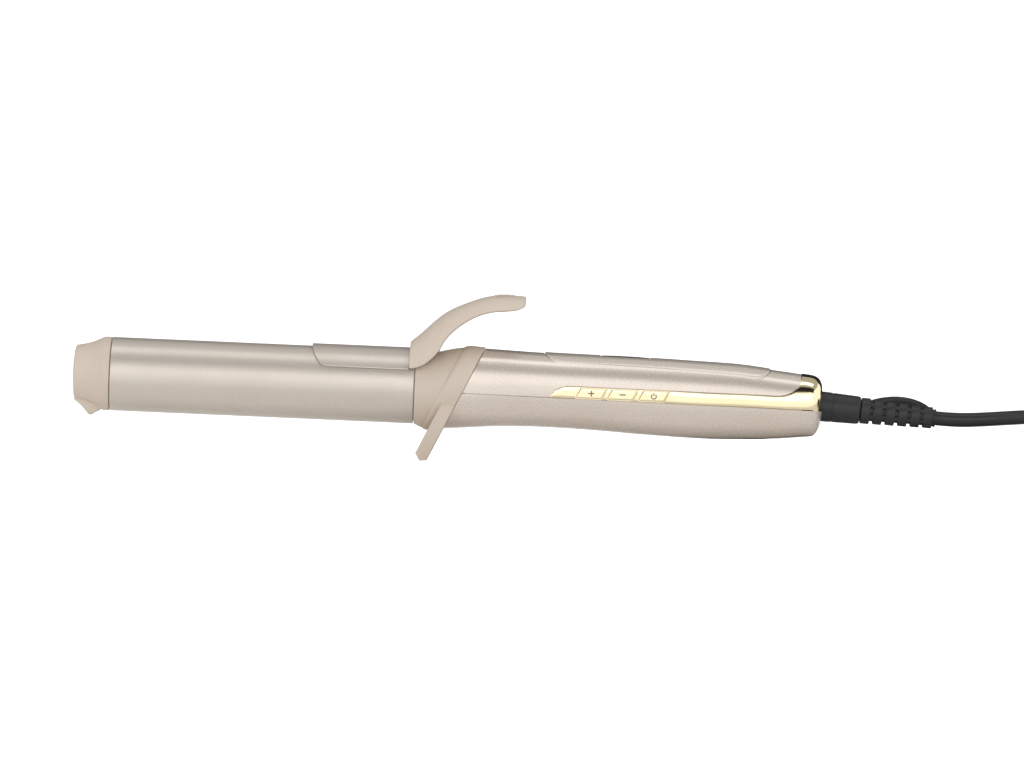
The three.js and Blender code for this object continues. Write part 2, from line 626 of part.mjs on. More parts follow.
const panelPrism = (grow) => upward(panelOutline(
  PANEL.start - grow, HANDLE.end - PANEL.rearMargin + grow, PANEL.halfWidth + grow, PANEL.corner + grow,
), 2, FAR);
const windowPrism = (grow) => upward(panelOutline(
  WINDOW.x - WINDOW.halfLength - grow, WINDOW.x + WINDOW.halfLength + grow, WINDOW.halfWidth + grow,
  WINDOW.corner + grow,
), 2, FAR);

/** A button's outline from the side: a parallelogram that leans with the collar's rear plane. */
function buttonOutline(index, grow) {
  const left = BUTTON.first + index * BUTTON.pitch;
  const lean = SLANT.slope * (BUTTON.top - BUTTON.bottom);
  const side = grow / slantCos;
  const over = SLANT.slope * grow;
  return [
    [left - lean - side - over, BUTTON.bottom - grow],
    [left - lean + BUTTON.length + side - over, BUTTON.bottom - grow],
    [left + BUTTON.length + side + over, BUTTON.top + grow],
    [left - side + over, BUTTON.top + grow],
  ];
}

const buttonMiddle = (index) => BUTTON.first + index * BUTTON.pitch + BUTTON.length / 2;
const buttonHoles = (grow, from, to) => [0, 1, 2]
  .map((index) => solid(sideways(buttonOutline(index, grow), from, to)))
  .reduce((sum, hole) => sum.add(hole));

/** Where a button's inner flange starts, behind the shell's wall at its narrowest along the button. */
const flangeFront = (index) => HANDLE.wall + GAP + 0.2 - Math.min(...[-0.75, 0.75].map((share) =>
  handleSideAt(buttonMiddle(index) + share * BUTTON.length)));

function button(index) {
  const face = -handleSideAt(buttonMiddle(index)) - TRIM.proud - BUTTON.proud;
  const flange = flangeFront(index);
  const cap = sideways(buttonOutline(index, 0), face + BUTTON.bevel, flange + 0.2);
  const crown = loft([
    buttonOutline(index, 0).map(([x, z]) => [x, face + BUTTON.bevel, z]),
    buttonOutline(index, -BUTTON.bevel).map(([x, z]) => [x, face, z]),
  ]);
  const plate = sideways(
    buttonOutline(index, BUTTON_STEM.flange), flange, flange + BUTTON_STEM.flangeThickness,
  );
  return solid(cap).add(solid(crown)).add(solid(plate));
}

const shellScrews = () => [SHELL_SCREW.front, HANDLE.end - SHELL_SCREW.rearMargin];
const boardScrews = () => [[BOARD.start + 7, 5.5], [boardEnd() - 8.5, -6]];
const boardEnd = () => HANDLE.end - SHELL_SCREW.rearMargin - BOSS.lower - 1.6;

/** The hole in the handle's end that the swivel turns in. */
const swivelHole = () =>
  solid(rod([-12, 0, 0], [20, 0, 0], SWIVEL.radius + GAP, 32).applyMatrix4(swivelPlace));

function handleSkin() {
  const hollow = handleBody(0).subtract(handleBody(-HANDLE.wall));
  return hollow.intersect(solid(behindSlant(SLANT.seam / slantCos))).subtract(swivelHole());
}

function upperShell() {
  const above = sideways([
    [-FAR, partingZ(-FAR) + GAP / 2], [FAR * 5, partingZ(FAR * 5) + GAP / 2], [FAR * 5, FAR], [-FAR, FAR],
  ], -FAR, FAR);
  let shell = handleSkin().intersect(solid(above));
  for (const x of shellScrews()) {
    shell = shell.add(solid(rod([x, 0, partingZ(x) + GAP], [x, 0, handleTopAt(x) - 1.6], BOSS.upper, 20)));
    const bore = rod([x, 0, -FAR], [x, 0, SHELL_SCREW.tipZ + 1], SHELL_SCREW.shank + FIT, 16);
    shell = shell.subtract(solid(bore));
  }
  const trimSeat = skin(2, -TRIM.depth - GAP, sideways(trimOutline(GAP), -FAR, FAR));
  const panelSeat = skin(2, -PANEL.depth - GAP, panelPrism(GAP));
  return shell.subtract(trimSeat).subtract(panelSeat).subtract(buttonHoles(GAP, -FAR, 0))
    .subtract(solid(windowPrism(-1)));
}

function lowerShell() {
  const below = sideways([
    [-FAR, partingZ(-FAR) - GAP / 2], [-FAR, -FAR], [FAR * 5, -FAR], [FAR * 5, partingZ(FAR * 5) - GAP / 2],
  ], -FAR, FAR);
  let shell = handleSkin().intersect(solid(below));
  for (const x of shellScrews()) {
    shell = shell
      .add(solid(rod([x, 0, handleBottomAt(x) + 1.6], [x, 0, partingZ(x) - GAP], BOSS.lower, 20)))
      .subtract(solid(rod([x, 0, -FAR], [x, 0, SHELL_SCREW.headZ + FIT], SHELL_SCREW.head + GAP, 20)))
      .subtract(solid(rod([x, 0, -FAR], [x, 0, 0], SHELL_SCREW.shank + GAP, 16)));
  }
  const under = BOARD.top - BOARD.thickness - GAP;
  for (const [x, y] of boardScrews()) {
    const bore = rod([x, y, BOARD.top - BOARD_SCREW.length - FIT], [x, y, 0], BOARD_SCREW.shank + FIT, 12);
    shell = shell
      .add(solid(rod([x, y, handleBottomAt(x) + 2], [x, y, under], BOARD_SCREW.post, 16)))
      .subtract(solid(bore));
  }
  return shell.subtract(buttonHoles(GAP, -FAR, 0));
}

function handleAssembly() {
  add(iron, 'upper_shell', upperShell(), 'pearl');
  add(iron, 'lower_shell', lowerShell(), 'pearl');
  const trim = skin(TRIM.proud, -TRIM.depth, sideways(trimOutline(0), -FAR, FAR));
  add(iron, 'gold_trim', trim.subtract(buttonHoles(0.2, -FAR, 0)).subtract(swivelHole()), 'gold');
  const panel = skin(PANEL.proud, -PANEL.depth, panelPrism(0));
  add(iron, 'top_panel', panel.subtract(solid(windowPrism(0))), 'pearl');
  add(iron, 'display_window', skin(PANEL.proud - 0.1, -PANEL.depth, windowPrism(-GAP)), 'smoke');
  ['plus_button', 'minus_button', 'power_button'].forEach((name, index) =>
    add(iron, name, button(index), 'gold'));
}

// -- Electronics --------------------------------------------------------------------------

function screw(x, y, headTop, headBottom, tip, shank, head) {
  return solid(rod([x, y, headTop], [x, y, headBottom], head, 16))
    .add(solid(rod([x, y, headBottom], [x, y, tip], shank, 16)));
}

function electronics() {
  const start = BUTTON.first - BUTTON_BOARD.margin - 2;
  const end = BUTTON.first + 2 * BUTTON.pitch + BUTTON.length + BUTTON_BOARD.margin - 2;
  const reach = [0, 1, 2].map((index) =>
    flangeFront(index) + BUTTON_STEM.flangeThickness + BUTTON_STEM.travel + 0.15);
  const boardY = Math.max(...reach) + TACT.plunger + TACT.height + 0.2;
  add(iron, 'button_board', box(start, end, boardY, boardY + BUTTON_BOARD.thickness,
    BUTTON_BOARD.bottom, BUTTON_BOARD.top), 'board');
  ['tact_switch_plus', 'tact_switch_minus', 'tact_switch_power'].forEach((name, index) => {
    const [x, z] = [buttonMiddle(index) - 1.3, (BUTTON.top + BUTTON.bottom) / 2];
    const half = TACT.size / 2;
    const back = boardY - 0.2;
    const body = solid(box(x - half, x + half, back - TACT.height, back, z - half, z + half));
    const plunger = solid(rod([x, back - 1, z], [x, reach[index], z], TACT.plungerRadius, 16));
    add(iron, name, body.add(plunger), 'component');
  });

  let board = solid(box(BOARD.start, boardEnd(), -BOARD.halfWidth, BOARD.halfWidth,
    BOARD.top - BOARD.thickness, BOARD.top));
  const low = BOARD.top + 0.2;
  boardScrews().forEach(([x, y], i) => {
    board = board.subtract(solid(rod([x, y, -FAR], [x, y, 0], BOARD_SCREW.shank + FIT, 12)));
    add(iron, `board_screw_${i + 1}`, screw(x, y, BOARD.top + BOARD_SCREW.headHeight + 0.1, BOARD.top + 0.1,
      BOARD.top - BOARD_SCREW.length, BOARD_SCREW.shank, BOARD_SCREW.head), 'steel');
  });
  add(iron, 'control_board', board, 'board');
  const rear = boardEnd();
  add(iron, 'film_capacitor', box(rear - 21, rear - 10, -1, 5.5, low, low + 9), 'component');
  add(iron, 'triac', box(rear - 26.5, rear - 22, -4.2, 2.2, low, low + 13), 'component');
  add(iron, 'microcontroller', box(BOARD.start + 14, BOARD.start + 23, -2, 6, low, low + 1.6), 'component');
  const roof = handleTopAt(WINDOW.x) - PANEL.depth - 2.6;
  const block = solid(box(WINDOW.x - 10, WINDOW.x + 10, -4.5, 4.5, roof - 6, roof));
  const header = solid(box(WINDOW.x - 4, WINDOW.x + 9, 2.6, 3.8, low, roof - 5));
  add(iron, 'display_module', block.add(header), 'component');

  shellScrews().forEach((x, i) => {
    const { headZ, headHeight, tipZ, shank, head } = SHELL_SCREW;
    add(iron, `shell_screw_${i + 1}`, screw(x, 0, headZ - headHeight, headZ, tipZ, shank, head), 'steel');
  });
  leads();
}

function leads() {
  const wire = (name, points) => add(iron, name, drawn(through(points), LEAD.radius, 6, 10), 'wire');
  const fuseEnd = FUSE.start + FUSE.length;
  const board = BOARD.top + LEAD.radius + 0.3;
  const fuse = rod([FUSE.start, FUSE.y, FUSE.z], [fuseEnd, FUSE.y, FUSE.z], FUSE.radius, 14);
  add(iron, 'thermal_fuse', fuse, 'brass');
  wire('heater_lead_front', [[HEATER.end - 1.6, 3, 0], [-6, 3.4, 1], [10, 4, 3.4],
    [FUSE.start - GAP, FUSE.y, FUSE.z]]);
  wire('heater_lead_rear', [[fuseEnd + GAP, FUSE.y, FUSE.z], [48, 6.4, 2], [57, 6.5, -3],
    [BOARD.start + 2, 3, board]]);
  wire('heater_lead_return', [[HEATER.end - 1.6, -3, 0], [0, -4, -2], [30, -6, -3], [52, -6.6, -5],
    [BOARD.start + 2, -3, board]]);
  wire('sensor_lead', [[-36.6, 0, barrelInner * 0.55], [-10, 0, 7], [30, -1, 7], [51, -5.4, 4],
    [60, -4.5, -1], [BOARD.start + 2, 0, board]]);
  const rear = boardEnd();
  for (const [name, side] of [['supply_lead_live', -1], ['supply_lead_neutral', 1]]) {
    wire(name, [[rear - 4, side * 2.6, board], [rear + 1, side * 5.6, board + 2],
      [HANDLE.end - SHELL_SCREW.rearMargin, side * 6, -4],
      [HANDLE.end + HUB.end - 2.2, side * 6.4, SWIVEL.z]]);
  }
}

// -- Cord swivel, strain relief and hanging loop, drawn along the swivel's own axis -------

function swivelAssembly() {
  const { flangeStart, radius, outerRadius, length } = SWIVEL;
  const flangeEnd = flangeStart + 2.6;
  add(swivel, 'swivel_sleeve', turned([
    [HUB.end, HUB.bore], [HUB.end, HUB.radius], [flangeStart, HUB.radius], [flangeStart, SWIVEL.flange],
    [flangeEnd, SWIVEL.flange], [flangeEnd, radius], [1.5, radius], [length - 0.8, outerRadius],
    [length, outerRadius - 0.8], [length, CORD.radius + GAP], [2, CORD.radius + GAP], [0, HUB.bore],
    [HUB.end, HUB.bore],
  ]), 'rubber');
  const seats = [[HUB.end + 1, HUB.end + 2.8], [HUB.end + 4.2, HUB.end + 6]];
  const housingEnd = flangeStart - GAP;
  const housing = tubeAlongX(HUB.end - 1, housingEnd, HUB.housing, HUB.housing - HUB.housingWall);
  add(swivel, 'swivel_housing', housing, 'component');
  seats.forEach(([from, to], i) => {
    add(swivel, `contact_ring_${i + 1}`, tubeAlongX(from, to, HUB.ring, HUB.radius + FIT, 24), 'brass');
    const [low, high] = [HUB.ring + FIT, HUB.housing - HUB.housingWall - GAP];
    add(swivel, `contact_brush_${i + 1}`, box(from + 0.3, to - 0.3, -1.2, 1.2, low + 0.1, high), 'brass');
  });
  add(swivel, 'strain_relief', strainRelief(), 'rubber');
}

function strainRelief() {
  const start = SWIVEL.length + GAP;
  const pitch = (RELIEF.end - start) / RELIEF.ridges;
  const radiusAt = (x) => RELIEF.frontRadius
    + ((RELIEF.rearRadius - RELIEF.frontRadius) * (x - start)) / (RELIEF.end - start);
  const outline = [[start, CORD.radius + GAP]];
  for (let i = 0; i < RELIEF.ridges; i++) {
    const from = start + i * pitch;
    const to = from + pitch - (i < RELIEF.ridges - 1 ? RELIEF.grooveWidth : 0);
    outline.push([from, radiusAt(from)], [to, radiusAt(to)]);
    if (i < RELIEF.ridges - 1) {
      outline.push([to, radiusAt(to) - RELIEF.groove], [from + pitch, radiusAt(to) - RELIEF.groove]);
    }
  }
  outline.push([RELIEF.end, CORD.radius + GAP], [start, CORD.radius + GAP]);
  const stem = solid(turned(outline, 16));
  return stem.add(loop(start)).subtract(solid(rod([0, 0, 0], [FAR * 2, 0, 0], CORD.radius + GAP, 24)));
}

/** The hanging loop: a flat strap bowed out from one end of the strain relief to the other. */
function loop() {
  const middle = (LOOP.start + LOOP.end) / 2;
  const half = (LOOP.end - LOOP.start) / 2;
  const inset = (RELIEF.frontRadius + RELIEF.rearRadius) / 2 - 1.3;
  const bow = (grow) => Array.from({ length: 15 }, (_, i) => {
    const angle = Math.PI - (Math.PI * i) / 14;
    return [
      middle + (half + grow) * Math.cos(angle),
      inset + (LOOP.reach + grow - inset) * Math.sin(angle) ** 0.8,
    ];
  });
  const outline = [...bow(LOOP.thickness / 2), ...bow(-LOOP.thickness / 2).reverse()];
  const strap = sideways(outline, -LOOP.width / 2, LOOP.width / 2);
  return solid(strap.rotateX(-degrees(LOOP.angle)));
}

// -- Cord, its tied hank and the plug, on the table ---------------------------------------

/** The hank from above: two round ends, and runs that the tie draws in to a waist. */
function hankOutline() {
  const { start, runs, halfWidth, waist } = HANK;
  const [x0, x1] = [start + halfWidth, start + halfWidth + runs];
  const arc = (x, from) => Array.from({ length: 13 }, (_, i) => {
    const angle = degrees(from + i * 15);
    return [x + halfWidth * Math.cos(angle), halfWidth * Math.sin(angle)];
  });
  const underTie = TIE.width / 2 / runs + 0.01;
  const shares = [0.125, 0.25, 0.375, 0.5 - underTie, 0.5 + underTie, 0.625, 0.75, 0.875];
  const run = (side) => shares.map((share) => {
    const flat = Math.abs(share - 0.5) < 0.1;
    const drawnIn = flat ? 1 : 0.5 * (1 - Math.cos(2 * Math.PI * share));
    const x = side > 0 ? x1 - runs * share : x0 + runs * share;
    return [x, side * (halfWidth - drawnIn * (halfWidth - waist))];
  });
  return [...arc(x1, -90), ...run(1), ...arc(x0, 90), ...run(-1)];
}

function cordAssembly() {
  add(table, 'cord_tube', drawn(through(CORD_POINTS), CORD.radius, CORD.sides, 14), 'rubber');
  const middle = HANK.start + HANK.halfWidth + HANK.runs / 2;
  const [from, to] = [middle - TIE.width / 2, middle + TIE.width / 2];
  const notch = solid(box(from - GAP, to + GAP, -FAR, FAR, -1, TIE.thickness + GAP));
  add(table, 'cord_hank', solid(upward(hankOutline(), 0, HANK.height)).subtract(notch), 'rubber');
  const inner = HANK.waist + GAP;
  const outer = inner + TIE.thickness;
  const roof = HANK.height + GAP;
  add(table, 'hank_tie', lengthwise(
    [[-outer, 0], [outer, 0], [outer, roof + TIE.thickness], [-outer, roof + TIE.thickness]], from, to,
    [[-inner, TIE.thickness], [inner, TIE.thickness], [inner, roof], [-inner, roof]],
  ), 'strap');
  add(table, 'cord_tail', drawn(through(TAIL_POINTS), CORD.radius, CORD.sides, 8), 'rubber');
  plug();
}

function plug() {
  const { x, y, neck, length, halfWidth, height } = PLUG;
  const low = height / 2;
  const ring = (at, half, rise) =>
    oval(at, half, low + rise, low - rise, 3, 24).map(([a, b, c]) => [a, b + y, c]);
  add(table, 'plug_body', loft([
    ring(x, neck, neck), ring(x + 8, neck + 0.5, neck + 0.4), ring(x + 14, halfWidth - 1.6, low - 1.2),
    ring(x + 18, halfWidth, low), ring(x + length - 1.5, halfWidth, low),
    ring(x + length, halfWidth - 1.4, low - 1.4),
  ]), 'rubber');
  for (const [name, side] of [['plug_blade_near', -1], ['plug_blade_far', 1]]) {
    const middle = y + (side * BLADE.spacing) / 2;
    add(table, name, box(x + length + GAP, x + length + BLADE.length, middle - BLADE.halfThickness,
      middle + BLADE.halfThickness, low - BLADE.halfHeight, low + BLADE.halfHeight), 'brass');
  }
}

barrelAssembly();
add(iron, 'stand_collar', standCollar(), 'champagne');
clampAssembly();
handleAssembly();
electronics();
swivelAssembly();
cordAssembly();

const curlingIron = new THREE.Group();
curlingIron.add(iron, table);

export default curlingIron;
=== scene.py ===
"""A hair curling iron at rest on a table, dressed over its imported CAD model."""

import json
import logging
import math
from dataclasses import dataclass, field
from enum import Enum
from typing import Callable, Optional, Sequence

import bmesh
import bpy
import numpy as np
from mathutils import Matrix, Vector


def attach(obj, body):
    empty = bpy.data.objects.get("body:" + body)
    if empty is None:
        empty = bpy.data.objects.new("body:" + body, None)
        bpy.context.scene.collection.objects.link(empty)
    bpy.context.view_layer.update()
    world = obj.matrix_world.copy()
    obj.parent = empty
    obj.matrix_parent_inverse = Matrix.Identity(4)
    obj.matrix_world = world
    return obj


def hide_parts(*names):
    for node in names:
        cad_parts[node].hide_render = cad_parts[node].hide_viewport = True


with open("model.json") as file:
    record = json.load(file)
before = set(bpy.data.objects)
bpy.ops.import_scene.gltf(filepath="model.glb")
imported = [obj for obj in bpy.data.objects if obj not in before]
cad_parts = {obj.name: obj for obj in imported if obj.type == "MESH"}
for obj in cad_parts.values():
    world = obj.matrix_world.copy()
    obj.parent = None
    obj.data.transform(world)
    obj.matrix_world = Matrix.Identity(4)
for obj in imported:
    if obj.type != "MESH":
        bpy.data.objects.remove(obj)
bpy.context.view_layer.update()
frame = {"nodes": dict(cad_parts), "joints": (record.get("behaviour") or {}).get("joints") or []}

log = logging.getLogger("curling_iron")
MM = 0.001
GAP = 0.3  # between pieces that touch, in millimetres
FAR = 60.0  # past everything that a cut has to reach, in millimetres

Point = tuple[float, float, float]
Flat = tuple[float, float]
Ring = np.ndarray


# ---------------------------------------------------------------- places


class Place(Enum):
    """The three frames that pieces are drawn in, in millimetres."""

    IRON = "iron"  # the barrel's axis is X, its seam with the collar at 0
    SWIVEL = "swivel"  # the cord swivel's own axis is X
    TABLE = "table"  # the table is z = 0


@dataclass(frozen=True)
class Rest:
    """How the iron lies on the table, read from the cord swivel's joint.

    Attributes:
        sole: the middle of the foot's sole in the iron's frame, the origin of the table's.
        droop: how far the swivel points below the barrel's axis, in degrees.
        swivel: the swivel's middle in the iron's frame.
    """

    sole: Flat = (4.95, -31.9)
    droop: float = 3.5
    swivel: Point = (177.4, 0.0, -0.8)

    def tilt(self) -> float:
        """The angle of the barrel's axis to the table, in radians."""
        axis = next(j for j in frame["joints"] if j["name"] == "cord_swivel")["axis"]
        return math.atan2(-axis[2], axis[0]) - math.radians(self.droop)

    def matrix(self, place: Place) -> Matrix:
        """From a place's millimetres to the row frame's metres.

        Args:
            place: the frame that a piece is drawn in.

        Returns:
            The matrix that takes its points to the row frame.
        """
        scale = Matrix.Scale(MM, 4)
        if place is Place.TABLE:
            return scale
        turn = Matrix.Rotation(self.tilt(), 4, "Y")
        iron = turn @ Matrix.Translation((-self.sole[0], 0, -self.sole[1]))
        if place is Place.IRON:
            return scale @ iron
        return (
            scale
            @ iron
            @ Matrix.Translation(self.swivel)
            @ Matrix.Rotation(math.radians(self.droop), 4, "Y")
        )


REST = Rest()
SWIVEL_PLACE = Matrix.Translation(REST.swivel) @ Matrix.Rotation(math.radians(REST.droop), 4, "Y")


# ---------------------------------------------------------------- meshes


def through(points: Sequence[Flat]) -> Callable[[float], float]:
    """A smooth function through (position, value) points, level past their ends.

    Args:
        points: positions in rising order with their values.

    Returns:
        The function.
    """
    at = np.array([p[0] for p in points], float)
    value = np.array([p[1] for p in points], float)
    slope = np.gradient(value, at)
    slope[1:-1] = (value[2:] - value[:-2]) / (at[2:] - at[:-2])

    def read(x: float) -> float:
        """The value at a position."""
        x = float(np.clip(x, at[0], at[-1]))
        i = min(max(int(np.searchsorted(at, x)) - 1, 0), len(at) - 2)
        width = at[i + 1] - at[i]
        t = (x - at[i]) / width
        return float(
            value[i] * (2 * t**3 - 3 * t**2 + 1)
            + value[i + 1] * (3 * t**2 - 2 * t**3)
            + width * (slope[i] * (t**3 - 2 * t**2 + t) + slope[i + 1] * (t**3 - t**2))
        )

    return read


def bent(value: np.ndarray, power: float) -> np.ndarray:
    """A cosine or sine bent so that its circle becomes a squarer oval."""
    return np.sign(value) * np.abs(value) ** (2 / power)


def oval(half_width: float, top: float, bottom: float, power: float = 2.0, count: int = 96) -> Ring:
    """An oval in Y and Z with its own height above and below.

    Args:
        half_width: its half width in Y.
        top: its highest Z.
        bottom: its lowest Z.
        power: 2 for an ellipse, more for a squarer oval.
        count: its points.

    Returns:
        count rows of (y, z).
    """
    angle = 2 * np.pi * (np.arange(count) + 0.5) / count
    z = (top + bottom) / 2 + (top - bottom) / 2 * bent(np.sin(angle), power)
    return np.stack([half_width * bent(np.cos(angle), power), z], axis=1)


def circle(count: int) -> Ring:
    """A circle of radius 1 as rows of (cosine, sine)."""
    angle = 2 * np.pi * np.arange(count) / count
    return np.stack([np.cos(angle), np.sin(angle)], axis=1)


def across(x: float, flat: Ring) -> Ring:
    """A section's (y, z) rows as (x, y, z) rows at one x."""
    return np.stack([np.full(len(flat), x), flat[:, 0], flat[:, 1]], axis=1)


def rounded(outline: Sequence[Flat], radius: float, steps: int = 6) -> np.ndarray:
    """A closed outline with its corners rounded.

    Args:
        outline: its corners in order.
        radius: how far from each corner the rounding starts.
        steps: points along each rounding.

    Returns:
        The rounded outline's points.
    """
    corners = np.array(outline, float)
    made = []
    for i, corner in enumerate(corners):
        sides = []
        for other in (corners[i - 1], corners[(i + 1) % len(corners)]):
            way = other - corner
            size = float(np.linalg.norm(way))
            sides.append(corner + way / size * min(radius, size * 0.45))
        for t in np.linspace(0, 1, steps):
            made.append((1 - t) ** 2 * sides[0] + 2 * t * (1 - t) * corner + t**2 * sides[1])
    return np.array(made)


def grown(outline: np.ndarray, by: float) -> np.ndarray:
    """A closed anticlockwise outline moved outwards along its normals.

    Args:
        outline: its points.
        by: how far, negative to shrink it.

    Returns:
        The moved points.
    """
    along = np.roll(outline, -1, axis=0) - np.roll(outline, 1, axis=0)
    along /= np.maximum(np.linalg.norm(along, axis=1, keepdims=True), 1e-9)
    return outline + by * np.stack([along[:, 1], -along[:, 0]], axis=1)


def blank(name: str, points: np.ndarray, faces: Sequence[Sequence[int]]) -> bpy.types.Object:
    """A mesh object in the scene, still in its own place's millimetres.

    Args:
        name: the piece's name.
        points: its points.
        faces: its faces, as indices.

    Returns:
        The object, with its doubles merged and its faces outwards.
    """
    mesh = bpy.data.meshes.new(name)
    mesh.from_pydata([tuple(map(float, p)) for p in points], [], [tuple(f) for f in faces])
    body = bmesh.new()
    body.from_mesh(mesh)
    bmesh.ops.remove_doubles(body, verts=body.verts, dist=1e-4)
    bmesh.ops.dissolve_degenerate(body, edges=body.edges, dist=1e-5)
    bmesh.ops.recalc_face_normals(body, faces=body.faces)
    body.to_mesh(mesh)
    body.free()
    piece = bpy.data.objects.new(name, mesh)
    bpy.context.scene.collection.objects.link(piece)
    return piece


def lofted(
    name: str, rings: Sequence[np.ndarray], capped: bool = True, closed: bool = False
) -> bpy.types.Object:
    """A skin over rings of points.

    Args:
        name: the piece's name.
        rings: rings of one count, each in (x, y, z).
        capped: whether its two ends are filled.
        closed: whether the last ring joins the first.

    Returns:
        The object.
    """
    count, total = len(rings[0]), len(rings)
    faces: list[tuple[int, ...]] = []
    for r in range(total if closed else total - 1):
        low, high = r * count, ((r + 1) % total) * count
        for i in range(count):
            j = (i + 1) % count
            faces.append((low + i, low + j, high + j, high + i))
    if capped and not closed:
        faces.append(tuple(reversed(range(count))))
        faces.append(tuple((total - 1) * count + i for i in range(count)))
    return blank(name, np.concatenate(rings), faces)


def turned(name: str, profile: Sequence[Flat], segments: int = 96) -> bpy.types.Object:
    """A profile of (x, radius) turned about X, closed on itself.

    Args:
        name: the piece's name.
        profile: the section's outline, which closes on itself or ends on the axis.
        segments: faces round it.

    Returns:
        The object.
    """
    rings = [across(x, radius * circle(segments)) for x, radius in profile]
    return lofted(name, rings, capped=False, closed=max(profile[0][1], profile[-1][1]) > 0)


def prism(
    name: str, outline: Sequence[Flat], low: float, high: float, axis: str = "y"
) -> bpy.types.Object:
    """An outline drawn out along an axis.

    Args:
        name: the object's name.
        outline: its points in the other two axes, in order.
        low: where it starts on the axis.
        high: where it ends.
        axis: "y" for an outline in X and Z, "z" for one in X and Y, "x" for one in Y and Z.

    Returns:
        The object.
    """
    flat = np.array(outline, float)
    rings = []
    for at in (low, high):
        level = np.full(len(flat), at)
        order = {
            "x": (level, flat[:, 0], flat[:, 1]),
            "y": (flat[:, 0], level, flat[:, 1]),
            "z": (flat[:, 0], flat[:, 1], level),
        }
        rings.append(np.stack(order[axis], axis=1))
    return lofted(name, rings)


def rod(name: str, start: Point, end: Point, radius: float, segments: int = 48) -> bpy.types.Object:
    """A plain rod, used only to cut or join.

    Args:
        name: the object's name.
        start: the middle of one end.
        end: the middle of the other.
        radius: its radius.
        segments: faces round it.

    Returns:
        The object.
    """
    a, b = Vector(start), Vector(end)
    turn = (b - a).to_track_quat("Z", "Y").to_matrix()
    angles = np.linspace(0, 2 * math.pi, segments, endpoint=False)
    edge = [turn @ Vector((radius * math.cos(t), radius * math.sin(t), 0)) for t in angles]
    return lofted(name, [np.array([middle + v for v in edge]) for middle in (a, b)])


def swept(name: str, line: np.ndarray, section: np.ndarray, up: Point = (0, 0, 1)) -> bpy.types.Object:
    """A section carried along a line.

    Args:
        name: the piece's name.
        line: the line's points.
        section: the section's points across the line, as (side, up); one for all or one for each point.
        up: the direction that stays up.

    Returns:
        The object.
    """
    along = np.gradient(line, axis=0)
    along /= np.linalg.norm(along, axis=1, keepdims=True)
    side = np.cross(along, np.array(up, float))
    side /= np.linalg.norm(side, axis=1, keepdims=True)
    over = np.cross(side, along)
    sections = section if section.ndim == 3 else np.repeat(section[None], len(line), axis=0)
    rings = [p + s[:, :1] * a + s[:, 1:] * b for p, s, a, b in zip(line, sections, side, over)]
    return lofted(name, rings)


def settle(piece: bpy.types.Object) -> bpy.types.Object:
    """Makes a piece's modifiers part of its mesh, and returns it."""
    shown = piece.evaluated_get(bpy.context.evaluated_depsgraph_get())
    mesh = bpy.data.meshes.new_from_object(shown)
    old, piece.data = piece.data, mesh
    piece.modifiers.clear()
    bpy.data.meshes.remove(old)
    return piece


def shaped(piece: bpy.types.Object, way: str, *tools: bpy.types.Object) -> bpy.types.Object:
    """Cuts a piece with tools, joins them to it, or keeps what they share.

    Args:
        piece: the piece that changes.
        way: DIFFERENCE, UNION or INTERSECT.
        tools: the objects to work with, which are used up.

    Returns:
        The piece.
    """
    for tool in tools:
        work = piece.modifiers.new(way.lower(), "BOOLEAN")
        work.operation, work.solver, work.object = way, "EXACT", tool
        settle(piece)
        bpy.data.objects.remove(tool)
    return piece


def softened(piece: bpy.types.Object, width: float, steps: int = 2, angle: float = 35) -> bpy.types.Object:
    """Rounds a piece's sharp edges.

    Args:
        piece: the piece.
        width: the rounding's width in millimetres.
        steps: faces across it.
        angle: the least angle of an edge that is rounded, in degrees.

    Returns:
        The piece.
    """
    body = bmesh.new()
    body.from_mesh(piece.data)
    bmesh.ops.remove_doubles(body, verts=body.verts, dist=2e-3)
    bmesh.ops.dissolve_limit(
        body, angle_limit=math.radians(0.5), verts=body.verts, edges=body.edges, delimit={"SHARP"}
    )
    body.to_mesh(piece.data)
    body.free()
    work = piece.modifiers.new("bevel", "BEVEL")
    work.width, work.segments, work.limit_method = width, steps, "ANGLE"
    work.angle_limit = math.radians(angle)
    work.use_clamp_overlap = True
    return settle(piece)


def joined(name: str, pieces: Sequence[bpy.types.Object]) -> bpy.types.Object:
    """Several meshes as one piece.

    Args:
        name: the new piece's name.
        pieces: the objects, which are used up.

    Returns:
        The piece.
    """
    body = bmesh.new()
    for piece in pieces:
        body.from_mesh(piece.data)
        bpy.data.objects.remove(piece)
    mesh = bpy.data.meshes.new(name)
    body.to_mesh(mesh)
    body.free()
    made = bpy.data.objects.new(name, mesh)
    bpy.context.scene.collection.objects.link(made)
    return made


def finished(
    piece: bpy.types.Object,
    place: Place,
    finish: "Finish",
    body: str,
    nodes: Sequence[str] = (),
    crease: float = 32,
) -> bpy.types.Object:
    """Puts a piece in its place, dresses it and ties it to the frame.

    Args:
        piece: the piece, in its place's millimetres.
        place: the frame that it was drawn in.
        finish: its finish, which knows the record's material slot.
        body: the CAD body that it rides on.
        nodes: the CAD nodes that it stands for.
        crease: the least angle of a sharp edge, in degrees.

    Returns:
        The piece.
    """
    mesh = piece.data
    mesh.transform(REST.matrix(place))
    mesh.materials.clear()
    mesh.materials.append(finish.material())
    mesh.polygons.foreach_set("use_smooth", [True] * len(mesh.polygons))
    mesh.polygons.foreach_set("material_index", [0] * len(mesh.polygons))
    mesh.set_sharp_from_angle(angle=math.radians(crease))
    mesh.update()
    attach(piece, body)
    if nodes:
        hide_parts(*nodes)
    log.info("%s: %d faces on %s", piece.name, len(mesh.polygons), body)
    return piece


# ---------------------------------------------------------------- finishes


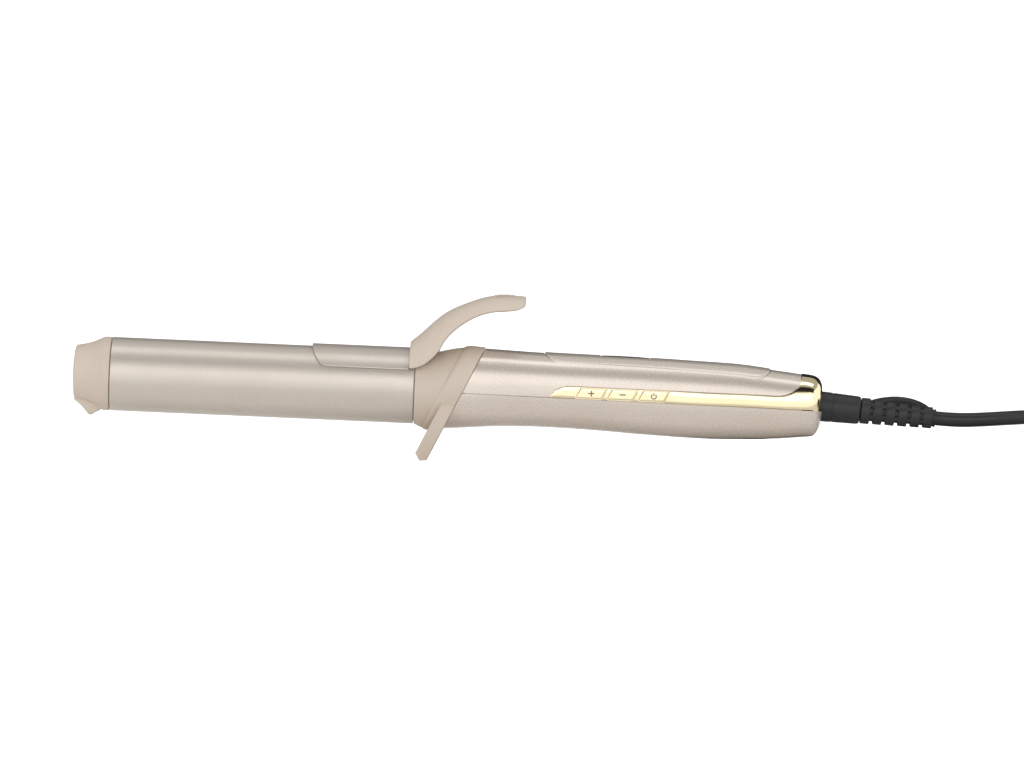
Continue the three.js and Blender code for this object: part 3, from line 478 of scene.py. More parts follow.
def linear(colour: str, alpha: float = 1.0) -> tuple[float, float, float, float]:
    """An sRGB hex colour as Blender's linear colour."""
    parts = [int(colour[i : i + 2], 16) / 255 for i in (0, 2, 4)]
    parts = [p / 12.92 if p <= 0.04045 else ((p + 0.055) / 1.055) ** 2.4 for p in parts]
    return (parts[0], parts[1], parts[2], alpha)


def node(tree: bpy.types.NodeTree, kind: str, settings: Optional[dict] = None, **links) -> bpy.types.Node:
    """Adds a node with its settings, and its inputs' values or links.

    Args:
        tree: the node tree.
        kind: the node's type.
        settings: the node's own properties.
        links: each input by name, with _ for a space or by its number as i0, i1; a socket or a value.

    Returns:
        The node.
    """
    made = tree.nodes.new(kind)
    for name, value in (settings or {}).items():
        setattr(made, name, value)
    for name, value in links.items():
        numbered = name[0] == "i" and name[1:].isdigit()
        socket = made.inputs[int(name[1:]) if numbered else name.replace("_", " ")]
        if isinstance(value, bpy.types.NodeSocket):
            tree.links.new(value, socket)
        else:
            socket.default_value = value
    return made


class Grain(Enum):
    """The pattern that a finish's surface has."""

    MOULDED = "moulded"  # fine spark-eroded texture
    TURNED = "turned"  # faint rings round the X axis
    PEARL = "pearl"  # mica flakes under a clear surface
    POLISHED = "polished"  # faint waviness and hairlines
    WOVEN = "woven"  # a flat weave
    BOARD = "board"  # solder mask with copper tracks


BROAD = 45  # the size of every finish's broad mottling, in millimetres


@dataclass(frozen=True)
class Finish:
    """A finish and how its surface was made.

    Attributes:
        name: the material's name.
        slot: the record's material slot.
        colour: its main sRGB colour.
        second: the sRGB colour that it varies to.
        roughness: the lowest and highest roughness.
        metallic: 0 or 1, or between for metal flakes in a lacquer.
        ior: its refraction index; a metal keeps the default.
        coat: a clear coat's weight.
        coat_roughness: the clear coat's roughness.
        grain: its pattern.
        pitch: the pattern's size in millimetres.
        depth: the pattern's height in millimetres.
        specular: the specular level.
    """

    name: str
    slot: str
    colour: str
    second: str
    roughness: Flat
    metallic: float = 0.0
    ior: Optional[float] = 1.5
    coat: float = 0.0
    coat_roughness: float = 0.03
    grain: Grain = Grain.MOULDED
    pitch: float = 0.6
    depth: float = 0.01
    specular: float = 0.5

    def material(self) -> bpy.types.Material:
        """The finish as a material, made once."""
        known = bpy.data.materials.get(self.name)
        if known:
            return known
        made = bpy.data.materials.new(self.name)
        made.use_nodes = True
        tree = made.node_tree
        tree.nodes.clear()
        place = node(tree, "ShaderNodeTexCoord").outputs["Object"]
        pattern = self.pattern(tree, place)
        broad = self.noise(tree, place, 1 / (BROAD * MM), 3.0, 0.55)
        blend = {"operation": "MULTIPLY_ADD"}
        mixed = node(tree, "ShaderNodeMath", blend, i0=pattern, i1=0.55, i2=broad).outputs[0]
        shade = node(tree, "ShaderNodeMapRange", None, i0=mixed, i1=0.45, i2=1.1, i3=0.0, i4=1.0).outputs[0]
        ends = [linear(self.colour), linear(self.second)]
        tint = {"data_type": "RGBA"}
        colour = node(tree, "ShaderNodeMix", tint, i0=shade, i6=ends[0], i7=ends[1]).outputs[2]
        low, high = self.roughness
        rough = node(tree, "ShaderNodeMapRange", None, i0=mixed, i1=0.4, i2=1.1, i3=low, i4=high).outputs[0]
        bump = node(tree, "ShaderNodeBump", None, Strength=0.6, Distance=self.depth * MM, Height=pattern)
        shader = node(
            tree, "ShaderNodeBsdfPrincipled", None, Base_Color=colour, Roughness=rough,
            Metallic=self.metallic, Normal=bump.outputs["Normal"],
        )
        if self.ior:
            shader.inputs["IOR"].default_value = self.ior
        shader.inputs["Specular IOR Level"].default_value = self.specular
        shader.inputs["Coat Weight"].default_value = self.coat
        shader.inputs["Coat Roughness"].default_value = self.coat_roughness
        node(tree, "ShaderNodeOutputMaterial", None, Surface=shader.outputs[0])
        return made

    def pattern(self, tree: bpy.types.NodeTree, place: bpy.types.NodeSocket) -> bpy.types.NodeSocket:
        """The pattern's height, from 0 to 1.

        Args:
            tree: the material's tree.
            place: the object coordinates, in metres.

        Returns:
            The socket that gives the height.
        """
        scale = 1000 / self.pitch
        if self.grain is Grain.TURNED:
            along = node(tree, "ShaderNodeMapping", None, Vector=place, Scale=(1.0, 0.02, 0.02)).outputs[0]
            return self.noise(tree, along, scale, 4.0)
        if self.grain is Grain.PEARL:
            flakes = node(tree, "ShaderNodeTexVoronoi", None, Vector=place, Scale=scale, Randomness=1.0)
            return node(tree, "ShaderNodeSeparateColor", None, i0=flakes.outputs["Color"]).outputs[0]
        if self.grain is Grain.WOVEN:
            waves = []
            for way in ("X", "Y"):
                bands = {"bands_direction": way}
                size = scale / 20 * 3.14
                wave = node(tree, "ShaderNodeTexWave", bands, Vector=place, Scale=size, Distortion=0.4)
                waves.append(wave.outputs["Fac"])
            return node(tree, "ShaderNodeMath", {"operation": "MAXIMUM"}, i0=waves[0], i1=waves[1]).outputs[0]
        if self.grain is Grain.BOARD:
            tracks = node(tree, "ShaderNodeTexBrick", None, Vector=place, Scale=scale, Mortar_Size=0.06)
            return tracks.outputs["Fac"]
        if self.grain is Grain.POLISHED:
            return self.noise(tree, place, scale, 2.0, 0.4)
        return self.noise(tree, place, scale, 6.0, 0.65)

    def noise(
        self,
        tree: bpy.types.NodeTree,
        place: bpy.types.NodeSocket,
        scale: float,
        detail: float,
        rough: float = 0.5,
    ) -> bpy.types.NodeSocket:
        """A noise pattern's value at a place."""
        made = node(tree, "ShaderNodeTexNoise", None, Vector=place, Scale=scale, Detail=detail, Roughness=rough)
        return made.outputs["Fac"]


# Heat-proof nylon with a fine moulded texture: soft broad highlights, no sharp reflections.
CHAMPAGNE = Finish(
    "moulded_matte_nylon", "champagne_plastic", "c9bcae", "c0b2a3", (0.46, 0.6), pitch=0.5,
    depth=0.012,
)
# Aluminium under a champagne ceramic lacquer, sprayed on the turned tube: satin, with faint rings.
SATIN = Finish(
    "sprayed_ceramic_coating", "barrel_coating", "ccc3b9", "c3baaf", (0.3, 0.42), metallic=0.45, coat=0.25,
    coat_roughness=0.25, grain=Grain.TURNED, pitch=0.35, depth=0.003,
)
# ABS with mica flakes under a clear lacquer: pale, glossy, with a soft glow that shifts.
PEARL = Finish(
    "pearl_lacquered_abs", "pearl_plastic", "d8cdc3", "cbbfb3", (0.2, 0.3), metallic=0.35, coat=0.7,
    coat_roughness=0.06, grain=Grain.PEARL, pitch=0.16, depth=0.0006,
)
# Pale gold vacuum plating on ABS, polished: a mirror that takes its bands from the room.
GOLD = Finish(
    "vacuum_plated_pale_gold", "gold_plating", "f3e6c4", "ecdcb2", (0.07, 0.13), metallic=1.0, ior=None,
    grain=Grain.POLISHED, pitch=6.0, depth=0.003,
)
# Moulded thermoplastic rubber: charcoal, dull, with a fine grain.
RUBBER = Finish(
    "moulded_soft_rubber", "black_rubber", "1b1b1e", "26262a", (0.42, 0.6), pitch=0.4,
    depth=0.012,
)
# Extruded PVC sheath: charcoal, a little smoother than the moulded rubber.
SHEATH = Finish("extruded_pvc_sheath", "black_rubber", "19191b", "232326", (0.36, 0.5), pitch=0.9, depth=0.01)
# Smoked acrylic: dark and clear, with a sharp reflection.
SMOKE = Finish(
    "smoked_acrylic", "smoked_lens", "141518", "1b1c20", (0.04, 0.07), coat=0.5,
    grain=Grain.POLISHED, pitch=9, depth=0.001,
)
# Pad-printed ink, mauve-grey, slightly raised and dull.
INK = Finish("pad_printed_ink", "component_plastic", "6f646b", "685d64", (0.4, 0.5), pitch=0.2, depth=0.004)
# Machined and stamped aluminium sheet: light grey, satin.
ALUMINIUM = Finish(
    "extruded_aluminium", "aluminium", "c4c6c9", "b4b6ba", (0.32, 0.45), 1.0, None,
    grain=Grain.TURNED, pitch=0.3, depth=0.004,
)
# Zinc-plated steel: grey, fairly bright.
STEEL = Finish(
    "zinc_plated_steel", "steel", "a9abae", "97999d", (0.24, 0.38), 1.0, None,
    grain=Grain.POLISHED, pitch=0.8, depth=0.004,
)
# Stamped brass, nickelled thinly: warm, bright, with drawn lines.
BRASS = Finish(
    "stamped_brass", "brass", "c9b37c", "b89f63", (0.22, 0.34), 1.0, None, grain=Grain.POLISHED,
    pitch=1.0, depth=0.003,
)
# Unglazed steatite: chalky white with a dry grain.
CERAMIC = Finish("fired_steatite", "ceramic", "e6e1d6", "d9d3c5", (0.7, 0.85), pitch=0.7, depth=0.02)
# Glass-epoxy board under green solder mask, with its tracks.
BOARD = Finish(
    "solder_masked_board", "circuit_board", "1f5a35", "2f7148", (0.3, 0.45), grain=Grain.BOARD,
    pitch=3.0, depth=0.03,
)
# Moulded epoxy of electronic parts: near black, dull.
COMPONENT = Finish(
    "moulded_epoxy", "component_plastic", "1d1e21", "27282c", (0.45, 0.6), pitch=0.3,
    depth=0.01,
)
# Braided glass sleeve on the inner leads: pale grey, dull.
SLEEVE = Finish(
    "braided_glass_sleeve", "wire_sleeve", "cfd2d6", "b9bcc2", (0.7, 0.85), grain=Grain.WOVEN,
    pitch=0.5, depth=0.05,
)
# Woven nylon tape: black, dull, with a flat weave 0.9 mm across, coarser than real so that it shows.
STRAP = Finish(
    "woven_nylon_tape", "strap_fabric", "202023", "303036", (0.65, 0.8), grain=Grain.WOVEN,
    pitch=0.9, depth=0.12,
)


# ---------------------------------------------------------------- studio


@dataclass
class Studio:
    """The table's pale floor, the lights and the camera.

    Attributes:
        target: the point that the camera looks at, in metres.
        across: the picture's width at the object, in metres.
        away: the camera's distance, in metres.
        roll: how far the camera leans, in degrees.
        flat: the radius of the floor's flat part, in metres.
        rim: the radius of its rising edge, in metres.
        rise: the edge's height in metres.
    """

    target: Point = (0.04061, 0.0, 0.03091)
    across: float = 0.4458
    away: float = 3.0
    roll: float = 3.4555
    flat: float = 9.0
    rim: float = 5.0
    rise: float = 9.0

    def camera(self) -> None:
        """Sets up the camera, square to the object's side and leaning slightly."""
        lens = bpy.data.cameras.new("camera")
        lens.sensor_width = 36.0
        lens.lens = self.away * lens.sensor_width / self.across
        lens.clip_start, lens.clip_end = 0.05, 100.0
        made = bpy.data.objects.new("camera", lens)
        bpy.context.scene.collection.objects.link(made)
        lean = math.radians(self.roll)
        right = Vector((math.cos(lean), 0, -math.sin(lean)))
        up = Vector((math.sin(lean), 0, math.cos(lean)))
        back = Vector((0, -1, 0))
        turn = Matrix((right, up, back)).transposed().to_4x4()
        made.matrix_world = Matrix.Translation(Vector(self.target) + back * self.away) @ turn
        bpy.context.scene.camera = made

    def floor(self) -> None:
        """Makes the floor, a wide dish with a rising edge."""
        steps = [(0.0, 0.0), (0.5, 0.0), (2.0, 0.0), (self.flat, 0.0)]
        for t in np.linspace(0.1, 1, 10) * math.pi / 2:
            steps.append((self.flat + self.rim * math.sin(t), self.rim * (1 - math.cos(t))))
        steps.append((self.flat + self.rim, self.rise))
        angle = 2 * np.pi * np.arange(96) / 96
        rings = [np.stack([r * np.cos(angle), r * np.sin(angle), np.full(96, z)], axis=1) for r, z in steps[1:]]
        dish = lofted("studio_floor", rings, capped=False)
        body = bmesh.new()
        body.from_mesh(dish.data)
        rim = [e for e in body.edges if e.is_boundary and e.verts[0].co.length < 1]
        bmesh.ops.contextual_create(body, geom=rim)
        bmesh.ops.recalc_face_normals(body, faces=body.faces)
        body.to_mesh(dish.data)
        body.free()
        dish.data.polygons.foreach_set("use_smooth", [True] * len(dish.data.polygons))
        made = bpy.data.materials.new("studio_paper")
        made.use_nodes = True
        shader = made.node_tree.nodes["Principled BSDF"]
        shader.inputs["Base Color"].default_value = (0.5, 0.5, 0.5, 1)
        shader.inputs["Roughness"].default_value = 0.9
        shader.inputs["Specular IOR Level"].default_value = 0.1
        shader.inputs["Emission Color"].default_value = (1, 1, 1, 1)
        shader.inputs["Emission Strength"].default_value = 0.82
        dish.data.materials.append(made)

    def facing(self, place: Point, way: Vector) -> Matrix:
        """The matrix of something at a place that faces along a way."""
        return Matrix.Translation(place) @ way.to_track_quat("-Z", "Y").to_matrix().to_4x4()

    def panel(self, name: str, place: Point, size: Flat, watts: float) -> None:
        """Hangs a softbox that faces the object.

        Args:
            name: its name.
            place: its middle, in metres.
            size: its width and height, in metres.
            watts: its power.
        """
        lamp = bpy.data.lights.new(name, "AREA")
        lamp.shape, lamp.size, lamp.size_y = "RECTANGLE", size[0], size[1]
        lamp.energy = watts
        made = bpy.data.objects.new(name, lamp)
        bpy.context.scene.collection.objects.link(made)
        made.matrix_world = self.facing(place, Vector(self.target) - Vector(place))
        made.visible_camera = False

    def flag(self, name: str, place: Point, size: Flat, flat: bool = False) -> None:
        """Hangs a dark card that the camera doesn't see.

        Args:
            name: its name.
            place: its middle, in metres.
            size: its width and height, in metres.
            flat: whether it lies on the floor and greys its light, or only darkens reflections.
        """
        w, h = size[0] / 2, size[1] / 2
        card = blank(name, np.array([(-w, -h, 0), (w, -h, 0), (w, h, 0), (-w, h, 0)]), [(0, 1, 2, 3)])
        way = Vector((0, 0, 1)) if flat else Vector(self.target) - Vector(place)
        card.data.transform(self.facing(place, way))
        made = bpy.data.materials.new(f"studio_{name}")
        made.use_nodes = True
        shader = made.node_tree.nodes["Principled BSDF"]
        shader.inputs["Base Color"].default_value = (0.9, 0.89, 0.88, 1) if flat else (0.02, 0.018, 0.016, 1)
        shader.inputs["Roughness"].default_value = 1.0
        shader.inputs["Specular IOR Level"].default_value = 0.0
        card.data.materials.append(made)
        card.visible_camera = False
        card.visible_shadow = False
        card.visible_diffuse = flat

    def light(self) -> None:
        """Sets the sky and hangs the softboxes and flags."""
        world = bpy.data.worlds.new("studio_sky")
        bpy.context.scene.world = world
        world.use_nodes = True
        sky = world.node_tree.nodes["Background"]
        sky.inputs["Color"].default_value = (1, 1, 1, 1)
        sky.inputs["Strength"].default_value = 0.48
        self.panel("softbox_front", (0.0, -2.5, 0.72), (5.0, 1.1), 11.5)
        self.panel("softbox_over", (0.0, -0.3, 2.6), (4.0, 0.8), 17)
        self.flag("flag_floor", (0.05, 0.12, 0.0004), (1.0, 0.5), True)
        self.flag("flag_high", (0.0, -1.45, 1.7), (5.0, 0.9))
        self.flag("flag_behind", (0.0, 1.9, 1.1), (5.0, 1.6))
        self.flag("flag_low", (0.0, 1.4, 0.16), (5.0, 0.3))
        bpy.context.scene.view_settings.view_transform = "Standard"

    def build(self) -> None:
        """Builds the whole studio."""
        self.camera()
        self.floor()
        self.light()


# ---------------------------------------------------------------- cord


@dataclass
class Cord:
    """The mains cord, its tied hank and its plug, on the table, in millimetres.

    Attributes:
        radius: the cord's radius.
        hank: x of the hank's left fold's middle, and of its right one's.
        fold: the inner column's fold radius.
        pitch: from one turn's middle to the next.
        waist: the inner column's distance from the middle line under the tie.
        under: the tie's thickness, which lifts the cord over it.
        tie_width: the tie's width.
        lead: points from the strain relief to the hank.
        tail: points from the hank to the plug.
        length: the whole cord's length in metres, once it is built.
    """

    radius: float = 3.1
    hank: Flat = (300.0, 393.0)
    fold: float = 18.6
    pitch: float = 6.25
    waist: float = 3.25
    under: float = 1.0
    tie_width: float = 9.0
    lead: list[Point] = field(
        default_factory=lambda: [
            (220.5, 0, 5.42), (223.97, 0, 4.84), (229.5, 0, 3.98), (236, 0, 3.35), (243, 0, 3.12), (251, -1.4, 3.1),
            (260, -7.2, 3.1), (269, -15, 3.1), (279, -21.2, 3.1), (290, -24.3, 3.1), (300, -24.85, 3.1),
        ]
    )
    tail: list[Point] = field(
        default_factory=lambda: [
            (416.5, -18.55, 20.0), (423, -18.2, 16.5), (429, -17.7, 12.7), (435, -17.2, 9.8),
            (439.5, -17.0, 8.7), (444.6, -17, 8.5),
        ]
    )
    length: float = 0.0

    def drawn_in(self, share: float) -> float:
        """How far along to the waist a run is, 0 at its ends and 1 in its middle."""
        return 0.5 * (1 - math.cos(2 * math.pi * share))

    def run(self, side: int, column: int, level: float, forward: bool, count: int = 21) -> list[Point]:
        """One run of the hank between its folds, drawn in by the tie.

        Args:
            side: -1 for the near side, 1 for the far one.
            column: 0 for the inner column, 1 for the outer one.
            level: the height of the run's middle line.
            forward: whether it goes towards the plug.
            count: its points.

        Returns:
            Its points, without those on the folds.
        """
        x0, length = self.hank[0], self.hank[1] - self.hank[0]
        made = []
        for share in np.linspace(0, 1, count + 2)[1:-1]:
            x = x0 + share * length
            depth = self.fold - self.waist
            slope = -depth * 0.5 * 2 * math.pi / length * math.sin(2 * math.pi * share)
            y = self.fold - depth * self.drawn_in(share)
            off = column * self.pitch / math.hypot(1, slope)
            lift = self.under * self.drawn_in(share) ** 2
            made.append((x - off * slope, side * (y + off), level + lift))
        return made if forward else made[::-1]

    def turn(self, right: bool, start: Flat, end: Flat, hump: float = 0) -> list[Point]:
        """A fold of the hank from one run to the next.

        Args:
            right: whether it is the fold next to the plug.
            start: the column and height that it leaves.
            end: the column and height that it comes to.
            hump: how far it bows out on the way.

        Returns:
            Its points.
        """
        made = []
        for t in np.linspace(0, 1, 19):
            ease = t * t * (3 - 2 * t)
            column = start[0] + (end[0] - start[0]) * ease
            level = start[1] + (end[1] - start[1]) * ease
            reach = self.fold + column * self.pitch + hump * math.sin(math.pi * t) ** 2
            angle = -math.pi / 2 + math.pi * t if right else math.pi / 2 + math.pi * t
            middle = self.hank[1] if right else self.hank[0]
            made.append((middle + reach * math.cos(angle), reach * math.sin(angle), level))
        return made

    def route(self) -> np.ndarray:
        """The cord's middle line from the strain relief to the plug.

        Returns:
            Its points in metres, close together.
        """
        low = self.radius
        levels = [low, low + 6.2, low + 12.4]
        slots = [(1, levels[0]), (0, levels[0]), (0, levels[1]), (1, levels[1]), (1, levels[2]), (0, levels[2])]
        humps = [0, -2.6, 0, 2.6, 0]
        made = list(self.lead)
        for i, slot in enumerate(slots[:-1]):
            made += self.run(-1, slot[0], slot[1], True)
            made += self.turn(True, slot, slot)
            made += self.run(1, slot[0], slot[1], False)
            made += self.turn(False, slot, slots[i + 1], humps[i])
        last = self.run(-1, 0, levels[2], True)
        rise = through([(300, 0), (366, 0), (383, 1.6), (400, 5.6), (409.5, 6.1)])
        made += [(x, y, z + rise(x)) for x, y, z in last]
        made += [(393, -18.6, 15.5 + rise(393)), (401, -18.6, 15.5 + rise(401)), (409.5, -18.6, 21.6)]
        made += self.tail
        return self.evened(np.array(made, float)) * MM

    def evened(self, points: np.ndarray) -> np.ndarray:
        """A smooth line through points, with even steps.

        Args:
            points: the points.

        Returns:
            Points about 2 mm apart.
        """
        steps = np.maximum(np.linalg.norm(np.diff(points, axis=0), axis=1) ** 0.5, 1e-6)
        at = np.concatenate([[0], np.cumsum(steps)])
        fine = np.linspace(0, at[-1], 6000)
        tangent = np.gradient(points, at, axis=0)
        i = np.clip(np.searchsorted(at, fine) - 1, 0, len(at) - 2)
        width = (at[i + 1] - at[i])[:, None]
        t = (fine - at[i])[:, None] / width
        line = (
            points[i] * (2 * t**3 - 3 * t**2 + 1)
            + points[i + 1] * (3 * t**2 - 2 * t**3)
            + width * (tangent[i] * (t**3 - 2 * t**2 + t) + tangent[i + 1] * (t**3 - t**2))
        )
        along = np.concatenate([[0], np.cumsum(np.linalg.norm(np.diff(line, axis=0), axis=1))])
        even = np.arange(0, along[-1], 2.0)
        line = np.stack([np.interp(even, along, line[:, k]) for k in range(3)], axis=1)
        for _ in range(6):
            line[1:-1] = line[1:-1] * 0.5 + (line[:-2] + line[2:]) * 0.25
        return line

    def sheath(self) -> bpy.types.Object:
        """The cord itself, one open curve."""
        line = self.route()
        curve = bpy.data.curves.new("mains_cord", "CURVE")
        curve.dimensions, curve.bevel_depth, curve.bevel_resolution = "3D", self.radius * MM, 4
        curve.use_fill_caps = True
        spline = curve.splines.new("POLY")
        spline.points.add(len(line) - 1)
        for point, place in zip(spline.points, line):
            point.co = (*place, 1.0)
        spline.use_smooth = True
        curve.materials.append(SHEATH.material())
        piece = bpy.data.objects.new("mains_cord", curve)
        bpy.context.scene.collection.objects.link(piece)
        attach(piece, "iron")
        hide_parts("cord_tube", "cord_hank", "cord_tail")
        self.length = float(np.linalg.norm(np.diff(line, axis=0), axis=1).sum())
        log.info("mains_cord: %.3f m", self.length)
        return piece

    def tie(self) -> bpy.types.Object:
        """The woven tape round the hank's waist."""
        half, roof, thick = 13.35, 20.05, 0.8
        middle = sum(self.hank) / 2
        corners = [(-half, thick / 2 + 0.02), (half, thick / 2 + 0.02), (half, roof), (-half, roof)]
        loop = rounded(corners, 4.2, 8)
        section = [(-1.0, -0.5), (-0.96, -0.85), (-0.8, -1), (0.8, -1), (0.96, -0.85), (1.0, -0.5)]
        section += [(-u, -v) for u, v in section]
        outer = grown(loop, thick / 2)
        rings = []
        for u, v in section:
            ring = loop + (outer - loop) * v
            rings.append(across(middle + u * self.tie_width / 2, ring))
        band = lofted("woven_tie", rings, capped=False, closed=True)
        return finished(band, Place.TABLE, STRAP, "iron", ["hank_tie"])

    def plug(self) -> list[bpy.types.Object]:
        """The moulded plug with its finger grips, and its two blades."""
        x, y, low = 444.0, -17.0, 8.5
        table = [
            (0.0, 4.2, 4.2, 2), (0.4, 4.6, 4.6, 2), (5, 4.9, 4.8, 2), (9, 6.0, 5.6, 2.2), (12.5, 8.9, 6.8, 2.6),
            (15.5, 10.7, 7.9, 3), (18, 11.4, 8.4, 3.2), (24, 11.5, 8.5, 3.4), (31.8, 11.5, 8.5, 3.4),
            (33.1, 11.2, 8.2, 3.4), (33.8, 10.5, 7.5, 3.4), (34, 9.6, 6.6, 3.4),
        ]
        read = [through([(row[0], row[k]) for row in table]) for k in (1, 2, 3)]
        rings = []
        for at in np.concatenate([np.linspace(0, 1, 4), np.linspace(1.6, 31, 70), np.linspace(31.4, 34, 12)]):
            wide, high, power = (f(at) for f in read)
            grip = 0.45 * math.sin(math.pi * min(max((at - 19) / 10.5, 0), 1) * 4) ** 2
            ring = oval(wide - grip, low + high, low - high, power, 72)
            rings.append(across(x + at, ring + (y, 0.0)))
        body = lofted("moulded_plug", rings)
        made = [finished(body, Place.TABLE, RUBBER, "iron", ["plug_body"])]
        for name, cad, side in (("blade_near", "plug_blade_near", -1), ("blade_far", "plug_blade_far", 1)):
            middle = y + side * 6.35
            outline = rounded([(x + 33, 5.3), (x + 51, 5.3), (x + 51, 11.7), (x + 33, 11.7)], 1.2)
            blade = prism(name, outline, middle - 0.75, middle + 0.75)
            hole = rod("hole", (x + 46.8, middle - 3, low), (x + 46.8, middle + 3, low), 1.6)
            shaped(blade, "DIFFERENCE", hole)
            softened(blade, 0.22, 2)
            made.append(finished(blade, Place.TABLE, BRASS, "iron", [cad]))
        return made

    def build(self) -> None:
        cord = self.sheath()
        tie = self.tie()
        plug = self.plug()


# ---------------------------------------------------------------- repeated pieces


def repeater() -> bpy.types.NodeTree:
    """The node tree that sets one small piece at each of a mesh's points, made once.

    Returns:
        The tree, with the inputs Piece, Size and Finish. It reads each point's turn and size.
    """
    known = bpy.data.node_groups.get("set_at_points")
    if known:
        return known
    tree = bpy.data.node_groups.new("set_at_points", "GeometryNodeTree")
    face = tree.interface
    face.new_socket("Geometry", in_out="INPUT", socket_type="NodeSocketGeometry")
    face.new_socket("Piece", in_out="INPUT", socket_type="NodeSocketObject")
    face.new_socket("Size", in_out="INPUT", socket_type="NodeSocketFloat").default_value = 1.0
    face.new_socket("Finish", in_out="INPUT", socket_type="NodeSocketMaterial")
    face.new_socket("Geometry", in_out="OUTPUT", socket_type="NodeSocketGeometry")
    given = node(tree, "NodeGroupInput").outputs
    piece = node(tree, "GeometryNodeObjectInfo", None, Object=given["Piece"]).outputs["Geometry"]
    kind = {"data_type": "FLOAT_VECTOR"}
    turn = node(tree, "GeometryNodeInputNamedAttribute", kind, Name="turn").outputs[0]
    size = node(tree, "GeometryNodeInputNamedAttribute", kind, Name="size").outputs[0]
    scale = node(tree, "ShaderNodeVectorMath", {"operation": "SCALE"}, i0=size, Scale=given["Size"]).outputs[0]
    placed = node(
        tree, "GeometryNodeInstanceOnPoints", None,
        Points=given["Geometry"], Instance=piece, Rotation=turn, Scale=scale,
    ).outputs[0]
    plain = node(tree, "GeometryNodeRealizeInstances", None, Geometry=placed).outputs[0]
    dressed = node(tree, "GeometryNodeSetMaterial", None, Geometry=plain, Material=given["Finish"]).outputs[0]
    node(tree, "NodeGroupOutput", None, Geometry=dressed)
    return tree


def repeated(
    name: str, piece: bpy.types.Object, places: Sequence[tuple[Point, Point, Point]], finish: Finish
) -> bpy.types.Object:
    """Sets a small piece at several places.

    Args:
        name: the new piece's name.
        piece: the small piece, drawn round its own origin, which is used up.
        places: where each one goes: its place, its turn in degrees and its size.
        finish: its finish.

    Returns:
        All of them as one plain mesh.
    """
    mesh = bpy.data.meshes.new(name)
    mesh.from_pydata([p[0] for p in places], [], [])
    for key, column in (("turn", 1), ("size", 2)):
        values = np.array([p[column] for p in places], float)
        values = np.radians(values) if key == "turn" else values
        mesh.attributes.new(key, "FLOAT_VECTOR", "POINT").data.foreach_set("vector", values.ravel())
    made = bpy.data.objects.new(name, mesh)
    bpy.context.scene.collection.objects.link(made)
    work = made.modifiers.new("set_at_points", "NODES")
    work.node_group = repeater()
    items = work.node_group.interface.items_tree
    keys = {item.name: item.identifier for item in items if item.in_out == "INPUT"}
    work[keys["Piece"]] = piece
    work[keys["Size"]] = 1.0
    work[keys["Finish"]] = finish.material()
    settle(made)
    for left in [a.name for a in made.data.attributes if a.name in ("turn", "size")]:
        made.data.attributes.remove(made.data.attributes[left])
    bpy.data.objects.remove(piece)
    return made


# ---------------------------------------------------------------- barrel and tip


